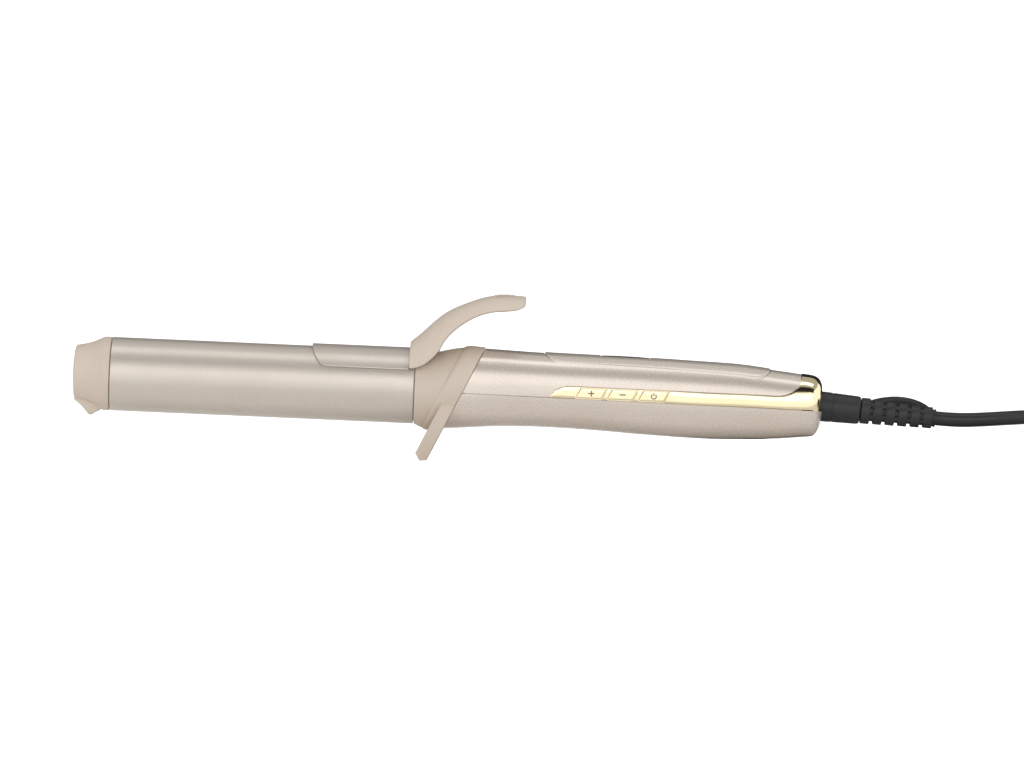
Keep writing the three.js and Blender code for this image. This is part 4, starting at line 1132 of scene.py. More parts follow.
@dataclass
class Barrel:
    """The heated barrel and the cool tip, in the iron's frame.

    Attributes:
        radius: the barrel's outer radius.
        wall: its wall.
        length: from the collar to the tip's band.
        tip: the tip's own length.
        nub: the rest nub's outline under the tip, as (x, depth below the axis).
        nub_half: the nub's half width.
    """

    radius: float = 16.0
    wall: float = 1.2
    length: float = 132.5
    tip: float = 16.3
    nub: list[Flat] = field(
        default_factory=lambda: [
            (-148.0, 12.0), (-147.2, 12.6), (-145.4, 13.95), (-144, 15.3), (-142.6, 16.9), (-141.6, 17.9),
            (-140.6, 18.25), (-139.5, 17.75), (-138.3, 17.0), (-136.9, 16.3), (-136.2, 15.6),
        ]
    )
    nub_half: float = 3.9

    def tube(self) -> None:
        """The barrel, with its edges just broken."""
        outer, inner = self.radius, self.radius - self.wall
        front, rear = -self.length + GAP, -GAP
        profile = [(front, inner + 0.2), (front, outer - 0.35), (front + 0.1, outer - 0.1), (front + 0.35, outer)]
        profile += [(x, outer) for x in np.linspace(front + 2, rear - 2, 40)]
        profile += [(rear - 0.3, outer), (rear, outer - 0.3), (rear, inner)]
        profile += [(x, inner) for x in np.linspace(rear - 2, front + 2, 10)] + [(front + 0.2, inner)]
        piece = turned("barrel", profile, 144)
        finished(piece, Place.IRON, SATIN, "iron", ["barrel_tube"])

    def cool_tip(self) -> None:
        """The cool tip with its flared waist, its band and the nub under it."""
        band = -self.length
        front = band - self.tip
        line = [
            (front, 0.0), (front, 2.0), (front + 0.06, 4.0), (front + 0.16, 6.5), (front + 0.32, 8.5),
            (front + 0.5, 10.0), (front + 0.72, 11.0), (front + 1.05, 11.6), (front + 1.5, 11.95),
            (front + 2.4, 12.15), (front + 4.5, 12.6), (front + 6.6, 13.15), (front + 8.0, 13.6), (front + 9.6, 14.25),
            (front + 11.2, 15.0), (front + 12.4, 15.6), (front + 13.0, 15.85), (front + 13.3, 15.97),
        ]
        outer = through([(x, r) for x, r in line[7:]])
        profile = line[:7] + [(x, outer(x)) for x in np.linspace(front + 1.05, front + 13.3, 64)]
        profile += [(front + 13.55, self.radius), (band - 1.5, self.radius), (band - 0.3, self.radius)]
        profile += [(band, self.radius - 0.3), (band, self.radius - self.wall - 1)]
        profile += [(band - 5, 12.2), (front + 3.2, 9.8), (front + 2.4, 0.0)]
        unit = circle(240)
        depth = through(self.nub)
        rings = []
        for i, (x, r) in enumerate(profile):
            radius = np.full(len(unit), r)
            if i < len(profile) - 5 and self.nub[0][0] < x < self.nub[-1][0]:
                y = np.abs(r * unit[:, 0])
                t = np.clip((self.nub_half + 0.5 - y) / 1.1, 0, 1)
                share = np.where(unit[:, 1] < 0, t * t * (3 - 2 * t), 0)
                crown = 0.35 * (y / self.nub_half) ** 2
                wanted = np.hypot(np.maximum(depth(x) - crown, 0), y)
                radius = r + share * np.maximum(wanted - r, 0)
            rings.append(across(x, radius[:, None] * unit))
        piece = lofted("cool_tip_cap", rings, capped=False)
        finished(piece, Place.IRON, CHAMPAGNE, "iron", ["cool_tip"], crease=50)

    def build(self) -> None:
        """Builds the barrel and its tip."""
        self.tube()
        self.cool_tip()


# ---------------------------------------------------------------- clamp


@dataclass(frozen=True)
class Hinge:
    """The clamp's hinge, across the collar's top.

    Attributes:
        x: the pin's place along the barrel.
        z: its height over the barrel's axis.
        pin: the radius of its hole.
        spring: the radius of the spring's pocket.
        pocket: where the pocket starts and ends in y.
    """

    x: float = 7.5
    z: float = 16.4
    pin: float = 1.3
    spring: float = 2.4
    pocket: Flat = (4.6, 9.0)

    def hole(self, half: float) -> bpy.types.Object:
        """The pin's hole, as far as a half width."""
        return rod("pin", (self.x, -half, self.z), (self.x, half, self.z), self.pin)

    def space(self) -> bpy.types.Object:
        """The spring's pocket."""
        low, high = self.pocket
        return rod("pocket", (self.x, low, self.z), (self.x, high, self.z), self.spring)


@dataclass
class Clamp:
    """The hair plate and the thumb lever, which turn together on the hinge.

    Attributes:
        barrel: the barrel's radius.
        gap: between the barrel and the plate.
        sheet: the plate's thickness.
        hinge: the hinge.
        half: the lever's half width at its front.
        hug: from the barrel to the lever's seat.
    """

    barrel: float = 16.0
    gap: float = 0.3
    sheet: float = 0.8
    hinge: Hinge = Hinge()
    half: float = 18.3
    hug: float = 1.6
    top: Callable[[float], float] = through(
        [(-2.7, 3.7), (2.1, 7.8), (7.7, 13.3), (13, 17.5), (19.9, 21), (28.7, 24.3), (36.5, 25.6), (46.8, 25.4)]
    )
    under: Callable[[float], float] = through(
        [
            (-2.7, -8.1), (-1, -8.1), (2.8, -6.7), (5.8, -4.5), (9.2, -0.8), (12, 4.4), (15.7, 8.8), (21.4, 13.3),
            (27.1, 16.3), (32.9, 17.9), (38.6, 18.5), (43.7, 19.4), (46.8, 21.1),
        ]
    )
    side: Callable[[float], float] = through(
        [
            (-2.7, 1), (5, 1.005), (12, 0.95), (20, 0.82), (28, 0.71), (36, 0.665), (43, 0.64), (45.6, 0.59),
            (46.8, 0.49),
        ]
    )

    def plate(self) -> None:
        """The hair plate, a thin trough over the barrel with rounded front corners."""
        inner = self.barrel + self.gap
        outer = inner + self.sheet
        edge = through(
            [(-45.2, 16.2), (-45.05, 15.7), (-44.6, 14.3), (-43.4, 11.7), (-41.5, 8.9), (-39.6, 7.8), (-38.0, 7.45),
             (-3.2, 7.4), (-3.0, 7.5), (-2.7, 10.4), (2.5, 10.6)]
        )
        xs = np.concatenate(
            [
                [-45.2, -45.12, -44.95], np.linspace(-44.7, -37.5, 22), np.linspace(-36, -3.3, 24),
                np.linspace(-3.1, 2.5, 9),
            ]
        )
        rings = []
        for k, x in enumerate(xs):
            thin = (0.36, 0.12, 0.03)[k] if k < 3 else 0.0
            reach = math.acos(min(edge(float(x)) / outer, 0.99))
            roll = 0.22 / outer
            arc = np.linspace(-reach + roll, reach - roll, 61)
            over = [(outer - thin, a) for a in arc]
            turn_out = [(outer - 0.06, reach - roll / 3), (outer - 0.25, reach), (inner + 0.25, reach)]
            turn_in = [(inner + 0.25, -reach), (outer - 0.25, -reach), (outer - 0.06, -reach + roll / 3)]
            under = [(inner + thin, a) for a in arc[::-1]]
            line = np.array(over + turn_out + under + turn_in)
            way = np.stack([np.sin(line[:, 1]), np.cos(line[:, 1])], axis=1)
            rings.append(across(x, line[:, :1] * way))
        piece = lofted("hair_plate", rings)
        shaped(piece, "DIFFERENCE", *[self.rivet(side, 1.1) for side in (-1, 1)])
        finished(piece, Place.IRON, SATIN, "clamp", ["clamp_plate"])

    def rivet(self, side: int, radius: float) -> bpy.types.Object:
        """A rivet's hole, square to the barrel's side."""
        y, z = side * math.sin(math.radians(30)), math.cos(math.radians(30))
        return rod("rivet_hole", (0, 15 * y, 15 * z), (0, 19.1 * y, 19.1 * z), radius, 24)

    def section(self, x: float, inset: float, floor: float = 0.0) -> np.ndarray:
        """The lever's outline across X, a dome with a level underside.

        Args:
            x: where it is.
            inset: how far inside the surface.
            floor: how far its underside is lowered.

        Returns:
            Its points.
        """
        top = self.barrel + self.top(x) - inset
        under = self.barrel + self.under(x) + inset - floor
        half = self.side(x) * self.half - inset
        angle = np.linspace(0.02, math.pi - 0.02, 85)
        y = half * np.sign(np.cos(angle)) * np.abs(np.cos(angle)) ** 0.85
        z = under + (top - under) * np.sin(angle) ** 0.85
        z = np.maximum(z, under + 0.45)
        edge = [(-half + 0.08, under + 0.18), (-half + 0.4, under)]
        level = [(v, under) for v in np.linspace(-half + 1, half - 1, 13)]
        back = [(half - 0.4, under), (half - 0.08, under + 0.18)]
        line = np.concatenate([np.stack([y, z], axis=1), np.array(edge + level + back)])
        return across(x, line)

    def lever(self) -> None:
        """The thumb lever: it hugs the barrel, then rises over the handle, hollow underneath."""
        stations = [(-2.7, 0.35), (-2.62, 0.12), (-2.45, 0.0)]
        stations += [(x, 0.0) for x in np.linspace(-2.2, 45.6, 96)]
        stations += [(46.1, 0.06), (46.5, 0.3), (46.72, 0.7), (46.8, 1.2)]
        piece = lofted("thumb_lever", [self.section(float(x), inset) for x, inset in stations])
        hollow = lofted("hollow", [self.section(float(x), 1.7, 6.0) for x in np.linspace(19, 43.4, 30)])
        x, z = self.hinge.x, self.hinge.z
        cuts = [
            rod("seat", (-60, 0, 0), (60, 0, 0), self.barrel + self.hug, 144),
            hollow,
            rod("lug_space", (x, -4.8, z), (x, 4.8, z), 3.2),
            self.hinge.hole(14.8),
            self.hinge.space(),
            *[self.rivet(side, 1.1) for side in (-1, 1)],
        ]
        shaped(piece, "DIFFERENCE", *cuts)
        finished(piece, Place.IRON, CHAMPAGNE, "clamp", ["clamp_lever"])

    def ribs(self) -> None:
        """The fine grip ribs across the lever's end."""
        base = self.section(37.0, 0.0)
        y = base[:85, 1]
        keep = np.abs(y) < 0.74 * y.max()
        line = np.stack([np.zeros(keep.sum()), y[keep], base[:85, 2][keep] - 41.55], axis=1)
        count = len(line)
        taper = np.clip(np.minimum(np.arange(count), np.arange(count)[::-1]) / 5.0, 0.05, 1) ** 0.5
        circle = np.linspace(0, 2 * math.pi, 13)[:-1]
        sections = np.stack(
            [np.stack([0.34 * np.cos(circle), 0.3 * t * np.sin(circle) - 0.1 * (1 - t)], axis=1) for t in taper]
        )
        rib = swept("rib", line, sections, up=(0, 0, 1))
        places = []
        for x in np.linspace(33.4, 41.4, 9):
            size = self.side(float(x)) / self.side(37.0)
            places.append(((float(x), 0, self.barrel + self.top(float(x))), (0, 0, 0), (1.0, size, 1.0)))
        piece = repeated("grip_ribs", rib, places, CHAMPAGNE)
        finished(piece, Place.IRON, CHAMPAGNE, "clamp")

    def build(self) -> None:
        """Builds the plate, the lever and its ribs."""
        self.plate()
        self.lever()
        self.ribs()


# ---------------------------------------------------------------- handle


@dataclass
class HandleForm:
    """The handle's outline, which its shells, trim and panel all follow.

    Attributes:
        start: x where the outline starts, inside the collar.
        end: x of its rear end.
        height: its height.
        width: its width.
        power: how square its section is, 2 for round.
    """

    start: float = 10.0
    end: float = 177.4
    height: float = 33.0
    width: float = 32.8
    power: float = 2.4
    top: Callable[[float], float] = through(
        [
            (0, 1.133), (0.121, 1.091), (0.287, 1.042), (0.52, 1.018), (0.678, 0.982), (0.783, 0.945), (0.887, 0.836),
            (0.938, 0.782), (0.971, 0.739), (0.986, 0.667), (0.994, 0.545), (1, 0.333),
        ]
    )
    bottom: Callable[[float], float] = through(
        [
            (0, -1.085), (0.062, -1.03), (0.165, -0.945), (0.269, -0.915), (0.346, -0.921), (0.424, -0.945),
            (0.532, -0.994), (0.687, -1.036), (0.789, -1.012), (0.896, -0.952), (0.944, -0.891), (0.977, -0.842),
            (0.987, -0.745), (0.995, -0.558), (1, -0.333),
        ]
    )
    side: Callable[[float], float] = through(
        [
            (0, 1.05), (0.12, 1.024), (0.3, 0.988), (0.52, 0.951), (0.717, 0.927), (0.884, 0.866), (0.944, 0.829),
            (0.971, 0.78), (0.986, 0.683), (0.994, 0.55), (1, 0.335),
        ]
    )

    def sizes(self, x: float, offset: float = 0.0) -> tuple[float, float, float]:
        """The section at x, grown by an offset: its half width, top and bottom."""
        share = (x - self.start) / (self.end + offset - self.start)
        return (
            self.side(share) * self.width / 2 + offset,
            self.top(share) * self.height / 2 + offset,
            self.bottom(share) * self.height / 2 - offset,
        )

    def parting(self, x: float) -> float:
        """The height of the line where the shells meet."""
        return -1.9 - 0.0065 * (x - 21.5)

    def point(self, x: float, angle: float, offset: float = 0.0) -> Point:
        """A point on the surface, from the near side at 0 over the top to the far side at pi."""
        half, top, bottom = self.sizes(x, offset)
        y = -half * float(bent(np.array(math.cos(angle)), self.power))
        z = (top + bottom) / 2 + (top - bottom) / 2 * float(bent(np.array(math.sin(angle)), self.power))
        return (x, y, z)

    def angle(self, x: float, z: float) -> float:
        """The near side's angle at a height."""
        _, top, bottom = self.sizes(x)
        share = (z - (top + bottom) / 2) / ((top - bottom) / 2)
        return math.asin(math.copysign(min(abs(share), 1) ** (self.power / 2), share))

    def over(self, x: float, y: float, offset: float = 0.0) -> float:
        """The upper surface's height at x and y."""
        half, top, bottom = self.sizes(x, offset)
        rise = (1 - (abs(y) / half) ** self.power) ** (1 / self.power)
        return (top + bottom) / 2 + (top - bottom) / 2 * rise

    def solid(self, name: str, offset: float, count: int = 120) -> bpy.types.Object:
        """The handle as one closed form, grown by an offset."""
        spans = [np.linspace(0, 0.93, 66)[:-1], np.linspace(0.93, 0.98, 10)[:-1], np.linspace(0.98, 1, 15)]
        length = self.end + offset - self.start
        rings = []
        for share in np.concatenate(spans):
            x = self.start + float(share) * length
            rings.append(across(x, oval(*self.sizes(x, offset), self.power, count)))
        return lofted(name, rings)


REAR = 21.5  # where the collar's slanted rear plane crosses the axis
LEAN = 0.477  # how far that plane leans back for each millimetre up
LEAN_COS = 1 / math.hypot(1, LEAN)


def slant(z: float, shift: float = 0.0) -> float:
    """x on the collar's slanted rear plane at a height."""
    return REAR + LEAN * z + shift


@dataclass
class Collar:
    """The collar, its slanted band and the foot, one moulding.

    Attributes:
        form: the handle's outline, which the collar meets.
        radius: the barrel's radius, where the collar starts.
        bore: the radius of the hole along it.
        band: the band's width, square to the slant.
        sole: the height of the foot's sole.
        plate: the foot's thickness.
        lug: the hinge lug's half width and radius.
    """

    form: HandleForm
    radius: float = 16.0
    bore: float = 14.8
    band: float = 8.6
    sole: float = -31.9
    plate: float = 5.7
    lug: Flat = (4.5, 2.55)

    def skin(self, rows: Sequence[tuple[float, float, float, float]]) -> Callable[[float, float], Flat]:
        """A surface through ovals.

        Args:
            rows: each oval's x, half width, top and bottom.

        Returns:
            A function from x and angle to (y, z).
        """
        read = [through([(row[0], row[k]) for row in rows]) for k in (1, 2, 3)]

        def at(x: float, angle: float) -> Flat:
            """The surface's y and z."""
            half, top, bottom = (f(x) for f in read)
            return half * math.cos(angle), (top + bottom) / 2 + (top - bottom) / 2 * math.sin(angle)

        return at

    def leaning(
        self, name: str, skin: Callable[[float, float], Flat], rows: Sequence[tuple[float, float, float]]
    ) -> bpy.types.Object:
        """A loft whose sections lean with the collar's rear plane.

        Args:
            name: the object's name.
            skin: the surface that it follows.
            rows: each section's x on the axis, its lean and how far it is inside the surface.

        Returns:
            The object.
        """
        rings = []
        for at, lean, inset in rows:
            ring = []
            for angle in 2 * np.pi * (np.arange(144) + 0.5) / 144:
                x, y, z = at, 0.0, 0.0
                for _ in range(5):
                    y, z = skin(x, angle)
                    size = math.hypot(y, z)
                    y, z = y * (1 - inset / size), z * (1 - inset / size)
                    x = at + lean * z
                ring.append((x, y, z))
            rings.append(np.array(ring))
        return lofted(name, rings)

    def body(self) -> bpy.types.Object:
        """The collar from the barrel's seam to the slanted plane."""
        r, form = self.radius, self.form
        top, bottom, side = form.sizes(28)[1], form.sizes(14)[2], form.sizes(20)[0]
        skin = self.skin(
            [
                (-2, r - 0.1, r, -r), (0, r, r, -r), (2, r + 0.1, r, -r - 0.9), (4.6, r + 0.2, r - 0.05, -r - 1.8),
                (10, r + 0.7, r - 0.15, bottom - 0.5), (13, r + 0.8, r + 0.6, bottom - 0.5),
                (20, side + 0.2, top - 0.15, bottom - 0.4), (34, side + 0.2, top + 0.2, bottom - 0.4),
            ]
        )
        rows = [(0.0, 0.0, 0.35), (0.08, 0.003, 0.1), (0.3, 0.008, 0.0)]
        for at in np.linspace(0.8, 21.0, 46):
            t = min(at / 12, 1)
            rows.append((float(at), LEAN * t * t * (3 - 2 * t), 0.0))
        rows += [(21.3, LEAN, 0.1), (21.45, LEAN, 0.3), (21.5, LEAN, 0.6)]
        return self.leaning("stand_body", skin, rows)

    def slanted_band(self) -> bpy.types.Object:
        """The band that stands proud along the collar's rear edge."""
        form = self.form
        top, bottom, side = form.sizes(28)[1], form.sizes(14)[2], form.sizes(20)[0]
        skin = self.skin(
            [
                (-4, side + 0.9, top + 1.2, bottom - 1), (19.6, side + 0.9, top + 1.05, bottom - 0.8),
                (34, side + 0.5, top + 0.2, bottom - 0.6),
            ]
        )
        start = REAR - self.band / LEAN_COS
        rows = [
            (start, LEAN, 1.6), (start + 0.05, LEAN, 1.1), (start + 0.5, LEAN, 0.62), (start + 1.2, LEAN, 0.28),
            (start + 2.2, LEAN, 0.07), (start + 3.4, LEAN, 0.0), (17, LEAN, 0.0), (20.6, LEAN, 0.0), (21.0, LEAN, 0.06),
            (21.3, LEAN, 0.25), (21.45, LEAN, 0.5), (21.5, LEAN, 0.9),
        ]
        return self.leaning("band", skin, rows)

    def foot(self) -> bpy.types.Object:
        """The foot, a plate that leans with the band and stands on the table."""
        length = 1 / LEAN_COS
        low = (self.sole - 3) * length
        corners = [
            (-17, low), (17, low), (19.85, (self.sole + 9) * length), (19.65, (self.sole + 17) * length),
            (17.2, (self.sole + 23) * length), (14.5, (self.sole + 27) * length), (-14.5, (self.sole + 27) * length),
            (-17.2, (self.sole + 23) * length), (-19.65, (self.sole + 17) * length),
            (-19.85, (self.sole + 9) * length),
        ]
        outline = rounded(corners, 4.0, 9)
        turn = math.atan(LEAN)
        rings = []
        rolls = [(-5.7, -0.9), (-5.68, -0.55), (-5.55, -0.22), (-5.3, -0.04), (-5.0, 0.0), (-0.8, 0.0), (-0.4, -0.06)]
        rolls += [(-0.12, -0.28), (-0.02, -0.6), (0.0, -0.95)]
        for depth, grow in rolls:
            line = grown(outline, grow)
            x = depth * math.cos(turn) + line[:, 1] * math.sin(turn)
            z = -depth * math.sin(turn) + line[:, 1] * math.cos(turn)
            rings.append(np.stack([REAR + x, line[:, 0], z], axis=1))
        plate = lofted("foot", rings)
        tilt = math.tan(REST.tilt())
        front = slant(self.sole, -self.plate / LEAN_COS)
        level = [(x, self.sole + tilt * (x - REST.sole[0])) for x in (3.5, FAR)]
        kept = [*level, (FAR, 20), (front - 4, 20), (front - 4, self.sole + 6), (front + 1.3, self.sole + 3.6)]
        return shaped(plate, "INTERSECT", prism("kept", kept, -FAR, FAR))

    def build(self) -> None:
        """Builds the stand collar."""
        piece = self.body()
        hinge = Hinge()
        x, z = hinge.x, hinge.z
        half, round_off = self.lug
        lug = rod("lug", (x, -half, z), (x, half, z), round_off)
        stem = prism("stem", [(x - 2.5, 15), (x + 2.5, 15), (x + 2.5, z - 0.2), (x - 2.5, z - 0.2)], -4.45, 4.45)
        shaped(piece, "UNION", self.slanted_band(), self.foot(), lug, stem)
        shaped(
            piece,
            "DIFFERENCE",
            rod("bore", (-1, 0, 0), (FAR, 0, 0), self.bore, 96),
            hinge.space(),
            hinge.hole(FAR),
        )
        piece.name = "collar_and_foot"
        finished(piece, Place.IRON, CHAMPAGNE, "iron", ["stand_collar"], crease=28)


@dataclass
class Handle:
    """The handle's shells, gold trim, top panel, lens, buttons and screws.

    Attributes:
        form: the handle's outline.
        wall: the shells' thickness.
        trim_proud: how far the trim stands out of the shells.
        button_first: where the first button starts.
        button_pitch: from one button to the next.
        button_length: the buttons' length.
        button_rise: how far they reach below and above the axis.
        screws: where the shell screws are along the handle.
        window: the middle of the display's window, from above.
    """

    form: HandleForm
    wall: float = 2.4
    trim_proud: float = 0.25
    button_first: float = 72.1
    button_pitch: float = 13.55
    button_length: float = 11.2
    button_rise: Flat = (-1.85, 2.65)
    screws: Flat = (52.0, 156.0)
    window: Flat = (91.0, 0.0)

    def button_corners(self, index: int, grow: float) -> list[Flat]:
        """A button's outline from the side, which leans like the collar."""
        left = self.button_first + index * self.button_pitch
        low, high = self.button_rise
        lean = LEAN * (high - low)
        side, over = grow / LEAN_COS, LEAN * grow
        return [
            (left - lean - side - over, low - grow),
            (left - lean + self.button_length + side - over, low - grow),
            (left + self.button_length + side + over, high + grow),
            (left - side + over, high + grow),
        ]

    def button_hole(self, index: int, grow: float, start: float = -60) -> bpy.types.Object:
        """The space that a button moves in."""
        return prism("button_hole", rounded(self.button_corners(index, grow), 0.8, 5), start, 0)

    def trim_edges(self, grow: float) -> list[Flat]:
        """The trim's outline on one side, closed past the handle's end."""
        p = self.form.parting
        return [
            (58.7 - grow, p(58.7) + 0.15 - grow), (62.7 - grow / 2, 1.9 + grow), (66.0, 3.05 + grow),
            (158.0, 2.65 + grow), (161.2 - grow, 3.15 + grow), (163.9 - grow, 4.45 + grow), (166.5 - grow, 6.85),
            (167.8 - grow, 9.65), (167.8 - grow, 60), (186.4, 60), (186.4, p(177.4) + 0.15 - grow),
        ]

    def shell(self, name: str, upper: bool) -> bpy.types.Object:
        """One half of the handle, a wall with its cuts.

        Args:
            name: its name.
            upper: whether it is the upper half.

        Returns:
            The object.
        """
        form, shift = self.form, 0.12 / LEAN_COS
        piece = form.solid(name, 0.0)
        shaped(piece, "DIFFERENCE", form.solid("inside", -self.wall, 72))
        side = GAP / 2 if upper else -GAP / 2
        far = 60 if upper else -60
        near_z, far_z = form.parting(21) + side, form.parting(240) + side
        half = [(slant(near_z, shift), near_z), (240, far_z), (240, far), (slant(far, shift), far)]
        shaped(piece, "INTERSECT", prism("half", half, -FAR, FAR))
        lip = form.solid("lip", -1.1 if upper else -1.35, 96)
        x0, x1 = (20.0, 240.0) if upper else (slant(-0.5, shift + 0.6), 168.0)
        z0, z1 = (-1.0, 1.4) if upper else (-1.6, 1.0)
        band = [(x0, form.parting(x0) + z0), (x1, form.parting(x1) + z0)]
        band += [(x1, form.parting(x1) + z1), (x0, form.parting(x0) + z1)]
        shaped(lip, "INTERSECT", prism("lip_band", band, -FAR, FAR))
        if upper:
            shaped(piece, "DIFFERENCE", lip)
        else:
            shaped(lip, "DIFFERENCE", form.solid("inside", -self.wall - 0.05, 72))
            shaped(piece, "UNION", lip)
        hole = rod("swivel_hole", (-12, 0, 0), (20, 0, 0), 6.8, 72)
        hole.data.transform(SWIVEL_PLACE)
        cuts = [hole, *[self.button_hole(i, GAP) for i in range(3)]]
        if upper:
            for outline, axis, low, depth in (
                (self.trim_edges(GAP), "y", -60, 1.3),
                (rounded([(55.6, -12.3), (154.4, -12.3), (154.4, 12.3), (55.6, 12.3)], 8.5, 10), "z", 2, 1.2),
            ):
                seat = form.solid("seat", 2.0, 72)
                shaped(seat, "DIFFERENCE", form.solid("seat_floor", -depth, 96))
                shaped(seat, "INTERSECT", prism("edge", outline, low, 60, axis))
                cuts.append(seat)
        shaped(piece, "DIFFERENCE", *cuts)
        for x in self.screws if not upper else ():
            floor = form.sizes(x)[2]
            shaped(piece, "UNION", rod("boss", (x, 0, floor + 1.6), (x, 0, form.parting(x) - GAP), 4.4))
            shaped(
                piece,
                "DIFFERENCE",
                rod("head_hole", (x, 0, -60), (x, 0, -9.3), 3.0),
                rod("shank_hole", (x, 0, -60), (x, 0, 0), 1.5, 24),
            )
        return piece

    def trim(self) -> None:
        """The plated strip: from a point, along both sides, and over the handle's rear end."""
        form = self.form
        fine = np.linspace(form.start, form.end, 1200)
        sizes = np.array([form.sizes(float(x)) for x in fine])
        run = np.concatenate([[0], np.cumsum(np.hypot(np.diff(fine), np.diff(sizes[:, 0])))])
        low = [(58.75, 0), (60.5, 0), (62.7, 0), (64.5, 0), (66.3, 0), (83.5, 0), (110, 0), (134.5, 0), (154, 0)]
        low += [(159.5, 0), (163.5, 0), (168, 0), (172.4, 0), (175.6, 0), (176.9, 0.25)]
        high = [
            (58.75, form.parting(58.75) + 0.15), (60.5, 0.75), (62.7, 1.95), (64.5, 2.75), (66.3, 3.05), (83.5, 3.03),
            (110, 2.93), (134.5, 2.68), (154, 2.62), (158.4, 2.72), (161, 3.15), (163.7, 4.45), (166.1, 6.85),
            (167.4, 9.65), (167.8, 12.0),
        ]
        pairs = []
        for (x0, turn), (x1, z1) in zip(low, high):
            floor = form.angle(x0, form.parting(x0) + 0.15) if turn == 0 else turn
            pairs.append((x0, floor, x1, form.angle(x1, z1)))
        last = pairs[-1]
        for t in (0.3, 0.6, 1.0):
            pairs.append((176.95, last[1] + (math.pi / 2 - last[1]) * t, 167.8, last[3] + (math.pi / 2 - last[3]) * t))
        keys = np.array(pairs)
        at = np.concatenate([[0], np.cumsum(np.hypot(np.diff(keys[:, 2]), 16 * np.diff(keys[:, 3])))])
        at += 0.3 * np.concatenate([[0], np.cumsum(np.abs(np.diff(keys[:, 0])))])
        lines = [through(list(zip(at, keys[:, k]))) for k in range(4)]
        half = [[line(u) for line in lines] for u in np.linspace(0, at[-1], 420)]
        whole = half + [[a, math.pi - b, c, math.pi - d] for a, b, c, d in half[-2::-1]]
        rings = []
        for x0, a0, x1, a1 in whole:
            w0, w1 = np.interp([x0, x1], fine, run)
            ends = [np.array(form.point(x0, a0)), np.array(form.point(x1, a1))]
            breadth = max(float(np.linalg.norm(ends[1] - ends[0])), 0.02)
            rows = [(d, o) for d, o in ((0, -0.35), (0.01, 0.0), (0.07, 0.14), (0.18, 0.22), (0.34, 0.25))]
            limit = breadth / 2.2
            steps = [(min(d, limit * (0.2 + 0.2 * i)) / breadth, o) for i, (d, o) in enumerate(rows)]
            inside = np.linspace(steps[-1][0], 1 - steps[-1][0], 17)[1:-1]
            middle = [(v, self.trim_proud + 0.1 * math.sin(math.pi * v)) for v in inside]
            cross = steps + middle + [(1 - v, o) for v, o in steps[::-1]]
            ring = []
            for v, offset in cross:
                x = float(np.interp(w0 + (w1 - w0) * v, run, fine))
                ring.append(form.point(x, a0 + (a1 - a0) * v, min(offset, breadth * 0.5)))
            for v in (1.0, 0.75, 0.5, 0.25, 0.0):
                x = float(np.interp(w0 + (w1 - w0) * v, run, fine))
                ring.append(form.point(x, a0 + (a1 - a0) * v, -1.0 if breadth > 1 else -0.6))
            rings.append(np.array(ring))
        piece = lofted("plated_trim", rings)
        shaped(piece, "DIFFERENCE", *[self.button_hole(i, 0.4) for i in range(3)])
        finished(piece, Place.IRON, GOLD, "iron", ["gold_trim"])

    def panel(self) -> None:
        """The top panel, a slightly raised cover with rolled edges and a window."""
        steps = 16
        outer = rounded([(55.9, -12), (154.1, -12), (154.1, 12), (55.9, 12)], 8.5, steps)
        sides = []
        for i, corner in enumerate(outer):
            straight = i % steps == steps - 1
            sides.append(np.linspace(corner, outer[(i + 1) % len(outer)], 26)[:-1] if straight else outer[i : i + 1])
        outer = np.concatenate(sides)
        middle = np.array(self.window)
        inner = []
        for point in outer:
            way = point - middle
            low, high = 0.0, 1.0
            for _ in range(30):
                t = (low + high) / 2
                x, y = abs(way[0] * t), abs(way[1] * t)
                dx, dy = max(x - 9.5, 0), max(y - 3.5, 0)
                inside = math.hypot(dx, dy) < 1.5 and x < 11 and y < 5
                low, high = (t, high) if inside else (low, t)
            inner.append(middle + way * low)
        inner = np.array(inner)
        breadth = np.linalg.norm(outer - inner, axis=1, keepdims=True)
        rows = [(0.0, -0.45), (0.02, 0.05), (0.1, 0.26), (0.28, 0.37), (0.55, 0.4)]
        rings = []
        spans = [(d / breadth, o) for d, o in rows]
        spans += [(0.55 / breadth + (1 - 1.1 / breadth) * v, 0.4) for v in np.linspace(0, 1, 22)[1:-1]]
        spans += [(1 - d / breadth, o) for d, o in rows[::-1]]
        spans += [(1.0, -0.9), (0.5, -0.9), (0.0, -0.9)]
        for share, offset in spans:
            flat = inner + (outer - inner) * share
            z = [self.form.over(float(x), float(y), offset) for x, y in flat]
            rings.append(np.stack([flat[:, 0], flat[:, 1], np.array(z)], axis=1))
        piece = lofted("top_cover", rings, capped=False, closed=True)
        finished(piece, Place.IRON, PEARL, "iron", ["top_panel"])

    def lens(self) -> None:
        """The display's smoked lens, flush in the panel."""
        edge = rounded([(80.3, -4.7), (101.7, -4.7), (101.7, 4.7), (80.3, 4.7)], 2.2, 9)
        rings = []
        middle = np.array(self.window)
        dome = [
            (1, -0.85), (1, 0.05), (0.99, 0.2), (0.965, 0.28), (0.85, 0.33), (0.6, 0.38), (0.3, 0.4), (0.05, 0.4),
        ]
        for share, offset in dome:
            flat = middle + (edge - middle) * share
            z = [self.form.over(float(x), float(y), offset) for x, y in flat]
            rings.append(np.stack([flat[:, 0], flat[:, 1], np.array(z)], axis=1))
        piece = lofted("display_lens", rings)
        finished(piece, Place.IRON, SMOKE, "iron", ["display_window"])

